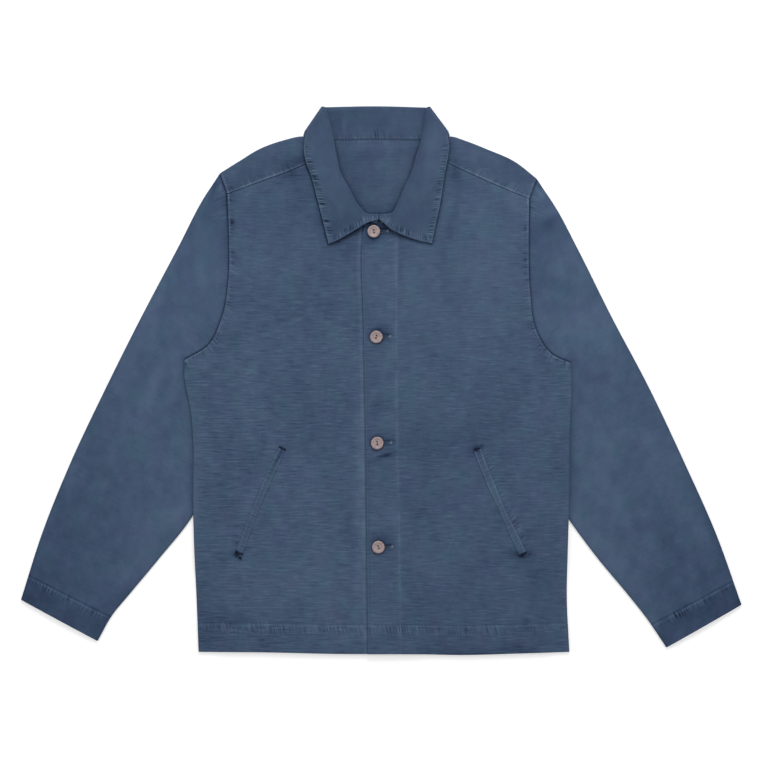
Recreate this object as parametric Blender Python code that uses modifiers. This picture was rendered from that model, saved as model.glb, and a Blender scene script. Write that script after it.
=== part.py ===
"""A cotton button jacket laid flat on its back, as thin cloth walls. Metres, +Z up, -Y towards the hem.

The floor is z = 0. From there up lie the back of the collar, the back, the sleeves and the two fronts,
each with its own height above the one below. "Right" and "left" are the wearer's; right lies at -X.
"""

from collections import namedtuple

import bpy
import numpy as np

# Cloth and the air between its layers
CLOTH = 0.0012
GAP = 0.0003
SLEEVE_GAP = 0.0005  # least air inside a flattened sleeve
LOFT = 0.0016  # extra air between two layers, away from their folds
LOFT_REACH = 0.035
LOFT_MARGIN = 0.008
COLLAR_CLOTH = 0.0020  # upper and under collar together

# Where the body climbs over something
TUCK_RISE = 2 * CLOTH + SLEEVE_GAP + 2 * GAP  # over the tucked underarm of a sleeve
COLLAR_RISE = COLLAR_CLOTH + GAP  # over the collar's back half
RISE_REACH = 0.060
TUCK_MARGIN = 0.010
OVERLAP_REACH = 0.045

# Buttons and welts
BUTTON_RADIUS = 0.0088
BUTTON_THICK = 0.0030
BUTTON_HOLE_RADIUS = 0.0009
BUTTON_HOLE_OFFSET = 0.0019
BUTTON_SIDES = 18
BUTTON_HOLE_SIDES = 8
BUTTON_SEAT = 1.5 * BUTTON_RADIUS  # the cloth within this radius is below the button
DRILL_LENGTH = 4 * BUTTON_THICK
WELT_CLOTH = 0.0010
WELT_WIDTH = 0.0115

# Cells of the cloth grids
LINE_STEPS = 48  # spans of an outline where distances are taken from it
SIDE_STEPS = (0, 0.085, 0.2, 0.3, 0.38, 0.44, 0.53, 0.64, 0.76, 0.88, 1)  # hem to armpit, shares of the side
ARM_STEPS = (0, 0.06, 0.16, 0.29, 0.43, 0.57, 0.71, 0.85, 1)  # armpit to forward seam, shares of the armhole
WRAP_STEPS = 2  # that seam to the shoulder fold
BACK_SHOULDER_STEPS = (0, 0.03, 0.09, 0.16, 0.23, 0.3)  # side to neck, fractions of the width
BACK_NECK_STEPS = (0.365, 0.43)  # neck to centre
FRONT_STEPS = (0, 0.055, 0.165, 0.29, 0.42, 0.55, 0.67, 0.79, 0.9, 1)  # side to centre edge
SLEEVE_FOLD_STEPS = (0, 0.08, 0.17, 0.27, 0.38, 0.49, 0.6, 0.71, 0.82, 0.92, 1)  # armpit to cuff
SLEEVE_ACROSS_STEPS = (0, 0.1, 0.22, 0.35, 0.5, 0.65, 0.78, 0.9, 1)  # outer fold to armhole or inner fold
COLLAR_FRONT_STEPS = 9
COLLAR_BACK_STEPS = 8
COLLAR_TURN_STEPS = 4
COLLAR_STAND_SHARES = (0, 0.5)
COLLAR_OVER_SHARES = (0.5, 1)  # roll line to the point above the neck seam
COLLAR_FALL_SHARES = (0.3, 0.65, 1)  # from there to the outer edge
COLLAR_OVER_MARGIN = 0.004
COLLAR_OVER_MOST = 0.85  # of the way from roll line to outer edge
FOLD_STEPS = 4
WELT_STEPS = 6
SHARP_ANGLE = np.radians(40)

Spot = namedtuple("Spot", "x y")

# Outlines, each from its first corner to its last. Sides run hem to armpit, armholes armpit to shoulder tip,
# shoulders tip to neck, sleeves shoulder or armpit to cuff, necklines centre to shoulder seam.
SIDE = {
    "right": [Spot(-0.2562, -0.3801), Spot(-0.2590, -0.3073), Spot(-0.2625, -0.2233), Spot(-0.2639, -0.1673),
              Spot(-0.2639, -0.0833), Spot(-0.2688, -0.0343), Spot(-0.2758, 0.0007), Spot(-0.2765, 0.0287)],
    "left": [Spot(0.2632, -0.3801), Spot(0.2597, -0.3073), Spot(0.2611, -0.2233), Spot(0.2629, -0.1673),
             Spot(0.2639, -0.0693), Spot(0.2660, -0.0203), Spot(0.2660, 0.0245)],
}
ARMHOLE = {
    "right": [Spot(-0.2765, 0.0287), Spot(-0.2429, 0.0497), Spot(-0.2233, 0.0903), Spot(-0.2149, 0.1407),
              Spot(-0.2142, 0.2037), Spot(-0.2163, 0.2611)],
    "left": [Spot(0.2660, 0.0245), Spot(0.2387, 0.0371), Spot(0.2177, 0.0693), Spot(0.2086, 0.1253),
             Spot(0.2065, 0.1967), Spot(0.2072, 0.2541)],
}
SHOULDER = {
    "right": [Spot(-0.2261, 0.2891), Spot(-0.1981, 0.3066), Spot(-0.1701, 0.3234), Spot(-0.1337, 0.3360),
              Spot(-0.1150, 0.3402), Spot(-0.0995, 0.3405)],
    "left": [Spot(0.2173, 0.2814), Spot(0.1855, 0.3059), Spot(0.1477, 0.3227), Spot(0.1141, 0.3355),
             Spot(0.0990, 0.3402), Spot(0.0876, 0.3405)],
}
SEAM = {
    "right": [Spot(-0.2163, 0.2611), Spot(-0.1701, 0.2779), Spot(-0.1281, 0.2933), Spot(-0.0925, 0.3090)],
    "left": [Spot(0.2072, 0.2541), Spot(0.1659, 0.2709), Spot(0.1239, 0.2898), Spot(0.0810, 0.3095)],
}
NECKLINE = {
    "right": [Spot(0.0231, 0.2233), Spot(-0.0035, 0.2240), Spot(-0.0217, 0.2275), Spot(-0.0441, 0.2387),
              Spot(-0.0623, 0.2569), Spot(-0.0791, 0.2835), Spot(-0.0925, 0.3090)],
    "left": [Spot(-0.0238, 0.2261), Spot(-0.0035, 0.2240), Spot(0.0147, 0.2275), Spot(0.0357, 0.2415),
             Spot(0.0539, 0.2597), Spot(0.0693, 0.2835), Spot(0.0810, 0.3095)],
}
CENTRE_EDGE = {
    "right": [Spot(0.0231, -0.3829), Spot(0.0231, 0.2233)],
    "left": [Spot(-0.0189, -0.3829), Spot(-0.0203, -0.2513), Spot(-0.0217, -0.1113), Spot(-0.0231, -0.0273),
             Spot(-0.0252, 0.0847), Spot(-0.0273, 0.1897), Spot(-0.0238, 0.2261)],
}
HEM = [Spot(-0.2562, -0.3801), Spot(-0.1561, -0.3808), Spot(-0.0581, -0.3829), Spot(0.0539, -0.3833),
       Spot(0.1099, -0.3843), Spot(0.1939, -0.3822), Spot(0.2632, -0.3801)]
BACK_NECK_Y = 0.3362
# The underarm is tucked below the body from this fraction of the side to this one of the inner fold
TUCK_FROM = 0.36
TUCK_TO = 0.47
SLEEVE_OUTER = {
    "right": [Spot(-0.2261, 0.2891), Spot(-0.2485, 0.2555), Spot(-0.2835, 0.1883), Spot(-0.3367, 0.0875),
              Spot(-0.3871, -0.0133), Spot(-0.4347, -0.1141), Spot(-0.4753, -0.2149), Spot(-0.5047, -0.3073)],
    "left": [Spot(0.2173, 0.2814), Spot(0.2457, 0.2387), Spot(0.2723, 0.1883), Spot(0.3227, 0.0875),
             Spot(0.3759, -0.0133), Spot(0.4235, -0.1141), Spot(0.4683, -0.2149), Spot(0.5040, -0.3143)],
}
SLEEVE_INNER = {
    "right": [Spot(-0.2765, 0.0287), Spot(-0.2680, -0.0150), Spot(-0.2500, -0.0560), Spot(-0.2360, -0.0980),
              Spot(-0.2370, -0.1350), Spot(-0.2681, -0.1939), Spot(-0.3115, -0.2485), Spot(-0.3535, -0.2989),
              Spot(-0.3787, -0.3297), Spot(-0.3983, -0.3647)],
    "left": [Spot(0.2660, 0.0245), Spot(0.2580, -0.0190), Spot(0.2410, -0.0600), Spot(0.2270, -0.1010),
             Spot(0.2290, -0.1390), Spot(0.2667, -0.1995), Spot(0.3031, -0.2485), Spot(0.3451, -0.2989),
             Spot(0.3717, -0.3325), Spot(0.3997, -0.3738)],
}
# The collar's neck seam, roll line and outer edge, from the centre front to the side of the neck
COLLAR_NECK = {
    "right": [Spot(-0.0060, 0.2195), Spot(-0.0230, 0.2240), Spot(-0.0460, 0.2355), Spot(-0.0658, 0.2563),
              Spot(-0.0815, 0.2850), Spot(-0.0914, 0.3150), Spot(-0.0931, 0.3395)],
    "left": [Spot(-0.0010, 0.2195), Spot(0.0160, 0.2240), Spot(0.0352, 0.2375), Spot(0.0535, 0.2563),
             Spot(0.0690, 0.2850), Spot(0.0785, 0.3150), Spot(0.0810, 0.3395)],
}
COLLAR_ROLL = {
    "right": [Spot(-0.0056, 0.2212), Spot(-0.0240, 0.2295), Spot(-0.0350, 0.2460), Spot(-0.0462, 0.2670),
              Spot(-0.0583, 0.2889), Spot(-0.0633, 0.3097), Spot(-0.0689, 0.3308), Spot(-0.0711, 0.3476),
              Spot(-0.0764, 0.3795)],
    "left": [Spot(-0.0014, 0.2212), Spot(0.0165, 0.2297), Spot(0.0240, 0.2470), Spot(0.0323, 0.2657),
             Spot(0.0441, 0.2922), Spot(0.0505, 0.3150), Spot(0.0576, 0.3375), Spot(0.0604, 0.3530),
             Spot(0.0640, 0.3795)],
}
COLLAR_EDGE = {
    "right": [Spot(-0.0741, 0.1908), Spot(-0.0812, 0.2191), Spot(-0.0896, 0.2527), Spot(-0.0980, 0.2849),
              Spot(-0.1064, 0.3087), Spot(-0.1085, 0.3269), Spot(-0.1064, 0.3412)],
    "left": [Spot(0.0707, 0.1917), Spot(0.0756, 0.2163), Spot(0.0819, 0.2457), Spot(0.0875, 0.2835),
             Spot(0.0921, 0.3087), Spot(0.0945, 0.3255), Spot(0.0925, 0.3412)],
}
# The same three lines between the two sides of the neck, hidden but for the neck seam
COLLAR_BACK_NECK = [Spot(-0.0830, 0.3345), Spot(-0.0060, 0.3332), Spot(0.0710, 0.3345)]
COLLAR_BACK_ROLL = [Spot(-0.0060, 0.3812)]
COLLAR_BACK_OVER = [Spot(-0.0060, 0.3375)]
COLLAR_BACK_EDGE = [Spot(-0.0900, 0.3325), Spot(-0.0060, 0.3300), Spot(0.0760, 0.3325)]
COLLAR_BOW = {"right": 0.0035, "left": 0.0065}  # how far the short ends bow towards the hem
COLLAR_BOW_REACH = 0.25  # of the leaf's length
COLLAR_STAND_Z = {"front": 0.0074, "back": 0.0048}  # middle of the cloth
COLLAR_FALL_Z = {"front": 0.0102, "back": COLLAR_CLOTH / 2}

WELT = {
    "right": [Spot(-0.1400, -0.0938), Spot(-0.1533, -0.1183), Spot(-0.1673, -0.1533), Spot(-0.1995, -0.2415)],
    "left": [Spot(0.1337, -0.0959), Spot(0.1477, -0.1323), Spot(0.1645, -0.1715), Spot(0.1981, -0.2429)],
}
BUTTONS = [Spot(-0.0108, 0.2087), Spot(-0.0073, 0.0609), Spot(-0.0060, -0.0875), Spot(-0.0043, -0.2331)]

# Half the section of a button, down its outer side, as shares of its radius and thickness
Turn = namedtuple("Turn", "out up")
BUTTON_PROFILE = [Turn(0, 0.72), Turn(0.55, 0.72), Turn(0.78, 1), Turn(0.93, 0.93), Turn(1, 0.5),
                  Turn(0.8, 0), Turn(0, 0)]

Finish = namedtuple("Finish", "colour roughness")
CLOTH_BLUE = Finish((0.052, 0.090, 0.152, 1), 0.9)
COLLAR_BLUE = Finish((0.047, 0.081, 0.140, 1), 0.9)
BUTTON_TAN = Finish((0.33, 0.25, 0.22, 1), 0.5)


# Curves and distances

def smoothstep(t):
    """0 below 0, 1 above 1, and 3 t^2 - 2 t^3 between."""
    t = np.clip(t, 0, 1)
    return t * t * (3 - 2 * t)


def along(spots, at):
    """Points at fractions of the length of a smooth curve through the spots (cubic Hermite spans)."""
    p = np.array(spots, float)
    t = np.concatenate([[0], np.cumsum(np.linalg.norm(np.diff(p, axis=0), axis=1))])
    t /= t[-1]
    slope = np.gradient(p, t, axis=0)
    at = np.asarray(at, float)
    i = np.clip(np.searchsorted(t, at, side="right") - 1, 0, len(t) - 2)
    h = (t[i + 1] - t[i])[:, None]
    s = (at - t[i])[:, None] / h
    return ((1 + 2 * s) * (1 - s) ** 2 * p[i] + s * (1 - s) ** 2 * h * slope[i]
            + s * s * (3 - 2 * s) * p[i + 1] + s * s * (s - 1) * h * slope[i + 1])


def distance(x, y, line):
    """Distance of each point to a line of straight spans."""
    p = np.stack([x, y], -1)[..., None, :]
    a, b = line[:-1], line[1:]
    t = np.clip(((p - a) * (b - a)).sum(-1) / ((b - a) ** 2).sum(-1), 0, 1)
    return np.linalg.norm(p - a - t[..., None] * (b - a), axis=-1).min(-1)


def inside(x, y, ring):
    """Whether each point is inside a closed ring of straight spans (crossings to the right are odd)."""
    a, b = ring, np.roll(ring, -1, 0)
    over = (a[:, 1] > y[..., None]) != (b[:, 1] > y[..., None])
    rise = np.where(b[:, 1] == a[:, 1], 1, b[:, 1] - a[:, 1])
    meets = a[:, 0] + (y[..., None] - a[:, 1]) * (b[:, 0] - a[:, 0]) / rise
    return (over & (x[..., None] < meets)).sum(-1) % 2 == 1


def patch(bottom, top, left, right, u, v):
    """Coons patch: the blend of opposite edges both ways, less the corners. Grid of rows v by columns u."""
    u, v = np.asarray(u)[None, :, None], np.asarray(v)[:, None, None]
    corners = ((1 - v) * ((1 - u) * bottom[0] + u * bottom[-1]) + v * ((1 - u) * top[0] + u * top[-1]))
    return (1 - v) * bottom[None] + v * top[None] + (1 - u) * left[:, None] + u * right[:, None] - corners


FINE = np.linspace(0, 1, LINE_STEPS + 1)
TUCK = {side: np.concatenate([along(SIDE[side], FINE[FINE > TUCK_FROM]),
                              along(SLEEVE_INNER[side], FINE[FINE < TUCK_TO])[1:]]) for side in SIDE}
BODY_FOLDS = [along(table[side], FINE) for table in (SIDE, SHOULDER, COLLAR_NECK) for side in SIDE]
SLEEVE_FOLDS = [along(table[side], FINE) for table in (SLEEVE_OUTER, SLEEVE_INNER) for side in SIDE]
SLEEVE_FOLDS += [ring[:-1] for ring in TUCK.values()]
COLLAR_BACK = np.array([*COLLAR_BACK_EDGE, COLLAR_EDGE["left"][-1], COLLAR_ROLL["left"][-1],
                        COLLAR_ROLL["right"][-1], COLLAR_EDGE["right"][-1]])


# Heights of the layers

def rise_over(x, y, ring, margin):
    """1 over a ring and margin around it, down to 0 over RISE_REACH."""
    away = np.where(inside(x, y, ring), 0, distance(x, y, np.concatenate([ring, ring[:1]])))
    return 1 - smoothstep((away - margin) / RISE_REACH)


def back_z(x, y):
    """Underside of the back: on the floor, but over both underarms and the back of the collar."""
    tucks = np.maximum(*(rise_over(x, y, TUCK[side], TUCK_MARGIN) for side in TUCK))
    return np.maximum(TUCK_RISE * tucks, COLLAR_RISE * rise_over(x, y, COLLAR_BACK, TUCK_MARGIN))


def loft(x, y, folds):
    """Air under an upper layer, none along its folds."""
    away = np.min([distance(x, y, line) for line in folds], axis=0)
    return LOFT * smoothstep((away - LOFT_MARGIN) / LOFT_REACH)


def front_z(x, y, side):
    """Underside of a front: over the back, and the left one over the right one's edge as well."""
    z = back_z(x, y) + CLOTH + GAP + loft(x, y, BODY_FOLDS)
    if side == "left":
        past = x - CENTRE_EDGE["right"][0].x - LOFT_MARGIN
        z = z + (CLOTH + 2 * GAP) * (1 - smoothstep(past / OVERLAP_REACH))
    return z


# Meshes

def material(name, finish):
    """A Principled material of the finish's colour and roughness."""
    made = bpy.data.materials.new(name)
    made.use_nodes = True
    shader = made.node_tree.nodes["Principled BSDF"]
    shader.inputs["Base Color"].default_value = finish.colour
    shader.inputs["Roughness"].default_value = finish.roughness
    return made


def mesh_object(name, points, faces, finish, wall):
    """A named object from the middle surface of its cloth, with Solidify adding half the wall each way."""
    mesh = bpy.data.meshes.new(name)
    mesh.from_pydata([tuple(p) for p in points], [], [tuple(int(i) for i in f) for f in faces])
    mesh.validate()
    mesh.shade_smooth()
    mesh.set_sharp_from_angle(angle=SHARP_ANGLE)
    obj = bpy.data.objects.new(name, mesh)
    jacket.objects.link(obj)
    mesh.materials.append(material(name, finish))
    solidify = obj.modifiers.new("wall", "SOLIDIFY")
    solidify.thickness = wall
    solidify.offset = 0


def cells(rows, columns, first=0, closed=False):
    """Quads of a grid whose points are numbered row by row; closed joins the last column to the first."""
    r, c = np.mgrid[0:rows - 1, 0:columns if closed else columns - 1]
    after = (c + 1) % columns
    return (first + np.stack([r * columns + c, r * columns + after,
                              (r + 1) * columns + after, (r + 1) * columns + c], -1)).reshape(-1, 4)


def armhole(side):
    """Armhole points from the armpit to the forward seam, then up to the shoulder fold."""
    lower = along(ARMHOLE[side], ARM_STEPS)
    tip = np.array(SHOULDER[side][0])
    steps = np.linspace(0, 1, WRAP_STEPS + 1)[1:, None]
    return np.concatenate([lower, lower[-1] + steps * (tip - lower[-1])])


def edge_rows(side):
    """The body's outer edge: side seam, then armhole up to the shoulder fold."""
    return np.concatenate([along(SIDE[side], SIDE_STEPS), armhole(side)[1:]])


def side_share(edge):
    """Each row's share of the edge's whole length."""
    run = np.concatenate([[0], np.cumsum(np.linalg.norm(np.diff(edge, axis=0), axis=1))])
    return run / run[-1]


def make_back():
    """The back from hem to shoulder folds, with a strip at each shoulder that folds on to the front."""
    half = np.array(BACK_SHOULDER_STEPS + BACK_NECK_STEPS)
    u = np.array([*half, 0.5, *(1 - half[::-1])])
    neck = len(BACK_SHOULDER_STEPS) - 1
    edges = {side: edge_rows(side) for side in SIDE}
    folds = {side: along(SHOULDER[side], np.linspace(0, 1, neck + 1)) for side in SIDE}
    inner = u[neck:len(u) - neck]
    t = (inner - inner[0]) / (inner[-1] - inner[0])
    neckline = np.stack([np.interp(t, [0, 1], [folds["right"][-1][0], folds["left"][-1][0]]),
                         np.full(len(t), BACK_NECK_Y)], -1)
    neckline[0], neckline[-1] = folds["right"][-1], folds["left"][-1]
    top = np.concatenate([folds["right"][:-1], neckline, folds["left"][::-1][1:]])
    plan = patch(along(HEM, u), top, edges["right"], edges["left"], u, side_share(edges["right"]))
    x, y = plan[..., 0], plan[..., 1]
    points = [np.dstack([x, y, back_z(x, y) + CLOTH / 2]).reshape(-1, 3)]
    faces = [cells(*x.shape)]
    for side, first in (("right", 0), ("left", len(u) - neck - 1)):
        strip = shoulder_wrap(side, neck, points[0][-len(u):][first:first + neck + 1])
        start = sum(len(p) for p in points)
        ids = np.concatenate([[x.size - len(u) + first + np.arange(neck + 1)],
                              start + np.arange(strip.shape[0] * (neck + 1)).reshape(strip.shape[0], -1)])
        points.append(strip.reshape(-1, 3))
        faces.append(np.stack([ids[:-1, :-1], ids[:-1, 1:], ids[1:, 1:], ids[1:, :-1]], -1).reshape(-1, 4))
    mesh_object("back", np.concatenate(points), np.concatenate(faces), CLOTH_BLUE, CLOTH)


def shoulder_wrap(side, neck, fold):
    """Rows from the shoulder fold, round it in a half circle, and on to the forward shoulder seam."""
    seam = along(SEAM[side], np.linspace(0, 1, neck + 1))
    if side == "left":
        seam = seam[::-1]
    radius = (CLOTH + GAP + loft(fold[:, 0], fold[:, 1], BODY_FOLDS)) / 2
    forward = seam - fold[:, :2]
    forward /= np.linalg.norm(forward, axis=1)[:, None]
    rows = []
    for angle in np.linspace(0, np.pi, FOLD_STEPS + 1)[1:]:
        bulge = radius * np.sin(angle)
        rows.append(np.column_stack([fold[:, :2] - forward * bulge[:, None],
                                     fold[:, 2] + radius * (1 - np.cos(angle))]))
    for share in np.linspace(0, 1, WRAP_STEPS + 1)[1:]:
        flat = fold[:, :2] + share * (seam - fold[:, :2])
        rows.append(np.column_stack([flat, front_z(flat[:, 0], flat[:, 1], "right") + CLOTH / 2]))
    return np.array(rows)


def make_front(name, side):
    """A front: side seam and armhole on one edge, centre edge and neckline on the other."""
    edge = edge_rows(side)[:-WRAP_STEPS]
    below = np.interp(edge[:len(SIDE_STEPS), 1], np.array(CENTRE_EDGE[side])[[0, -1], 1], [0, 1])
    rows = len(ARM_STEPS) // 2
    above = below[-1] + (1 - below[-1]) * np.array(ARM_STEPS[1:rows + 1]) / ARM_STEPS[rows]
    neck = np.linspace(0, 1, len(ARM_STEPS) - rows)[1:]
    centre = np.concatenate([along(CENTRE_EDGE[side], [*below, *above]), along(NECKLINE[side], neck)])
    ends = (edge[0][0], centre[0][0]) if side == "right" else (centre[0][0], edge[0][0])
    hem = along(HEM, FINE)
    u = np.array(FRONT_STEPS)
    bottom_x = edge[0][0] + u * (centre[0][0] - edge[0][0])
    bottom = np.column_stack([bottom_x, np.interp(bottom_x, hem[:, 0], hem[:, 1])])
    centre[0][1] = np.interp(centre[0][0], hem[:, 0], hem[:, 1])
    seam = along(SEAM[side], u)
    seam[:, 1] -= 2 * GAP
    edge[-1], centre[-1] = seam[0], seam[-1]
    plan = patch(bottom, seam, edge, centre, u, side_share(edge))
    x, y = plan[..., 0], plan[..., 1]
    points = np.dstack([x, y, front_z(x, y, side) + CLOTH / 2]).reshape(-1, 3)
    mesh_object(name, points, cells(*x.shape), CLOTH_BLUE, CLOTH)


def make_sleeve(name, side):
    """A flattened tube, open at the armhole and the cuff.

    Each station is a ring: the outer fold, the upper cloth across to the armhole or the inner fold, that
    fold, and the lower cloth back. Above the armpit the ring stays open at the armhole.
    """
    rim = along(ARMHOLE[side], ARM_STEPS)[::-1]
    tip = np.array(SHOULDER[side][0])
    slope = np.gradient(np.concatenate([[tip], rim]), axis=0)
    away = np.column_stack([slope[:, 1], -slope[:, 0]]) * (1 if side == "right" else -1)
    away *= 2 * GAP / np.linalg.norm(away, axis=1)[:, None]
    rim, tip = rim + away[1:], tip + away[0]
    inner = np.concatenate([rim, along(SLEEVE_INNER[side], SLEEVE_FOLD_STEPS)[1:]])
    outer = along(SLEEVE_OUTER[side], side_share(inner))
    outer[0] = tip
    height = 2 * CLOTH + SLEEVE_GAP
    near = (height - CLOTH) / 2 / np.linalg.norm(inner - outer, axis=1)
    below = np.arange(len(inner)) >= len(rim) - 1
    u = np.array(SLEEVE_ACROSS_STEPS)[None, :, None]
    first, last = near[:, None, None], np.where(below, 1 - near, 1)[:, None, None]
    share = first + u * (last - first)
    plan = (1 - share) * outer[:, None] + share * inner[:, None]
    x, y = plan[..., 0], plan[..., 1]
    top = height + np.where(inside(x, y, TUCK[side]), 0, loft(x, y, SLEEVE_FOLDS)) - CLOTH / 2
    edges = [np.column_stack([line, np.full(len(line), height / 2)])[:, None] for line in (outer, inner)]
    upper, lower = np.dstack([x, y, top]), np.dstack([x, y, np.full_like(x, CLOTH / 2)])
    ring = np.concatenate([edges[0], upper, edges[1], lower[:, ::-1]], axis=1)
    rows, columns = ring.shape[:2]
    faces = cells(rows, columns, closed=True).reshape(rows - 1, columns, 4)
    across = upper.shape[1]
    shut = np.ones(faces.shape[:2], bool)
    shut[:len(rim) - 1, across:across + 2] = False
    mesh_object(name, ring.reshape(-1, 3), faces[shut], CLOTH_BLUE, CLOTH)


def collar_half(side):
    """Five lines of the collar, from the centre front to the back of the side, in the middle of the cloth.

    They are the neck seam, the top of the stand, the top of the fall, the fall above the neck seam and the
    outer edge. They run flat on the front, then each turns down in a half circle of its own radius to its
    height at the back. Returns stations by lines by xyz.
    """
    t = np.linspace(0, 1, COLLAR_FRONT_STEPS + 1)
    neck, roll, edge = (along(table[side], t) for table in (COLLAR_NECK, COLLAR_ROLL, COLLAR_EDGE))
    depth = np.linalg.norm(neck - roll, axis=1) + COLLAR_OVER_MARGIN
    share = np.minimum(depth / np.linalg.norm(edge - roll, axis=1), COLLAR_OVER_MOST)[:, None]
    over = roll + share * (edge - roll)
    rest = np.maximum(front_z(*edge.T, "right"), front_z(*edge.T, side)) + CLOTH + GAP + COLLAR_CLOTH / 2
    stand, fall = (np.full(len(t), level["front"]) for level in (COLLAR_STAND_Z, COLLAR_FALL_Z))
    high = np.column_stack([stand, stand, fall, fall, rest])
    front = np.dstack([np.stack([neck, roll, roll, over, edge], 1), high])
    low = np.array([COLLAR_STAND_Z["back"]] * 2 + [COLLAR_FALL_Z["back"]] * 3)
    radius, middle = (high[-1] - low) / 2, (high[-1] + low) / 2
    fold = roll[-1] - neck[-1]
    outward = np.array([-fold[1], fold[0]]) / np.linalg.norm(fold)
    outward *= np.sign(outward[0]) * (1 if side == "left" else -1)
    angle = np.linspace(np.pi / 2, -np.pi / 2, COLLAR_TURN_STEPS + 1)[1:, None]
    plan = front[-1, None, :, :2] + (radius * np.cos(angle))[..., None] * outward
    return np.concatenate([front, np.dstack([plan, middle + radius * np.sin(angle)])])


def make_collar():
    """One band folded along its roll line: at each station the stand, a half circle, and the fall."""
    right, left = collar_half("right"), collar_half("left")
    t = np.linspace(0, 1, COLLAR_BACK_STEPS + 1)[1:-1]
    lines = (COLLAR_BACK_NECK, COLLAR_BACK_ROLL, COLLAR_BACK_ROLL, COLLAR_BACK_OVER, COLLAR_BACK_EDGE)
    back = []
    for i, spots in enumerate(lines):
        plan = along([right[-1, i, :2], *spots, left[-1, i, :2]], t)
        back.append(np.column_stack([plan, np.full(len(t), right[-1, i, 2])]))
    neck, stand, fall, over, edge = np.concatenate([right, np.stack(back, 1), left[::-1]]).transpose(1, 0, 2)
    up = (stand - neck) * [1, 1, 0]
    up /= np.linalg.norm(up, axis=1)[:, None]
    middle, radius = (stand + fall) / 2, np.linalg.norm(fall - stand, axis=1)[:, None] / 2
    columns = [neck + share * (stand - neck) for share in COLLAR_STAND_SHARES]
    for angle in np.linspace(0, np.pi, FOLD_STEPS + 1):
        columns.append(middle + (stand - middle) * np.cos(angle) + radius * np.sin(angle) * up)
    station = np.arange(len(neck))
    from_end = {"right": station, "left": station[::-1]}
    columns += [fall + share * (over - fall) for share in COLLAR_OVER_SHARES]
    for share in COLLAR_FALL_SHARES:
        column = over + share * (edge - over)
        for side, bow in COLLAR_BOW.items():
            fade = np.clip(1 - from_end[side] / (COLLAR_BOW_REACH * COLLAR_FRONT_STEPS), 0, 1)
            column[:, 1] -= bow * 4 * share * (1 - share) * fade
        columns.append(column)
    grid = np.stack(columns, 1)
    mesh_object("collar", grid.reshape(-1, 3), cells(*grid.shape[:2]), COLLAR_BLUE, COLLAR_CLOTH)


def make_welt(name, side):
    """A narrow strip on the front, made from points of its surface moved out."""
    line = along(WELT[side], np.linspace(0, 1, WELT_STEPS + 1))
    run = np.gradient(line, axis=0)
    across = np.column_stack([-run[:, 1], run[:, 0]]) / np.linalg.norm(run, axis=1)[:, None]
    grid = np.stack([line + offset * across for offset in (-WELT_WIDTH / 2, 0, WELT_WIDTH / 2)], 1)
    x, y = grid[..., 0], grid[..., 1]
    z = front_z(x, y, side) + CLOTH + 2 * GAP + WELT_CLOTH / 2
    mesh_object(name, np.dstack([x, y, z]).reshape(-1, 3), cells(*x.shape), CLOTH_BLUE, WELT_CLOTH)


def button_mesh():
    """A turned disc with a raised rim, cut by two round holes."""
    mesh = bpy.data.meshes.new("button")
    points = [(BUTTON_RADIUS * spot.out, 0, BUTTON_THICK * spot.up) for spot in BUTTON_PROFILE]
    mesh.from_pydata(points, [(i, i + 1) for i in range(len(points) - 1)], [])
    blank = bpy.data.objects.new("button_blank", mesh)
    jacket.objects.link(blank)
    turned = blank.modifiers.new("turned", "SCREW")
    turned.steps = turned.render_steps = BUTTON_SIDES
    turned.use_merge_vertices = True
    turned.merge_threshold = 0.00001
    for number, up in enumerate((-1, 1)):
        bpy.ops.mesh.primitive_cylinder_add(vertices=BUTTON_HOLE_SIDES, radius=BUTTON_HOLE_RADIUS,
                                            depth=DRILL_LENGTH, location=(0, up * BUTTON_HOLE_OFFSET, 0))
        drill = bpy.context.object
        drill.name = f"button_hole_{number + 1}"
        for home in list(drill.users_collection):
            home.objects.unlink(drill)
        cutters.objects.link(drill)
        drill.hide_render = True
        drill.display_type = "WIRE"
        blank.modifiers.new(drill.name, "BOOLEAN").object = drill
    bpy.context.view_layer.update()
    drilled = bpy.data.meshes.new_from_object(blank.evaluated_get(bpy.context.evaluated_depsgraph_get()))
    bpy.data.objects.remove(blank)
    return drilled


def make_buttons():
    """Four buttons with one mesh, on top of the left front."""
    mesh = button_mesh()
    mesh.materials.clear()
    mesh.materials.append(material("button", BUTTON_TAN))
    for number, spot in enumerate(BUTTONS):
        button = bpy.data.objects.new(f"button_{number + 1}", mesh)
        angle = np.linspace(0, 2 * np.pi, BUTTON_HOLE_SIDES)
        x, y = spot.x + BUTTON_SEAT * np.cos(angle), spot.y + BUTTON_SEAT * np.sin(angle)
        button.location = (spot.x, spot.y, front_z(x, y, "left").max() + CLOTH + GAP)
        jacket.objects.link(button)


for leftover in list(bpy.data.objects):
    bpy.data.objects.remove(leftover)
jacket = bpy.data.collections.new("button_jacket")
cutters = bpy.data.collections.new("cutters")
for group in (jacket, cutters):
    bpy.context.scene.collection.children.link(group)

make_back()
make_collar()
make_buttons()
for hand in ("right", "left"):
    make_front(f"{hand}_front", hand)
    make_sleeve(f"{hand}_sleeve", hand)
    make_welt(f"{hand}_welt", hand)
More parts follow.
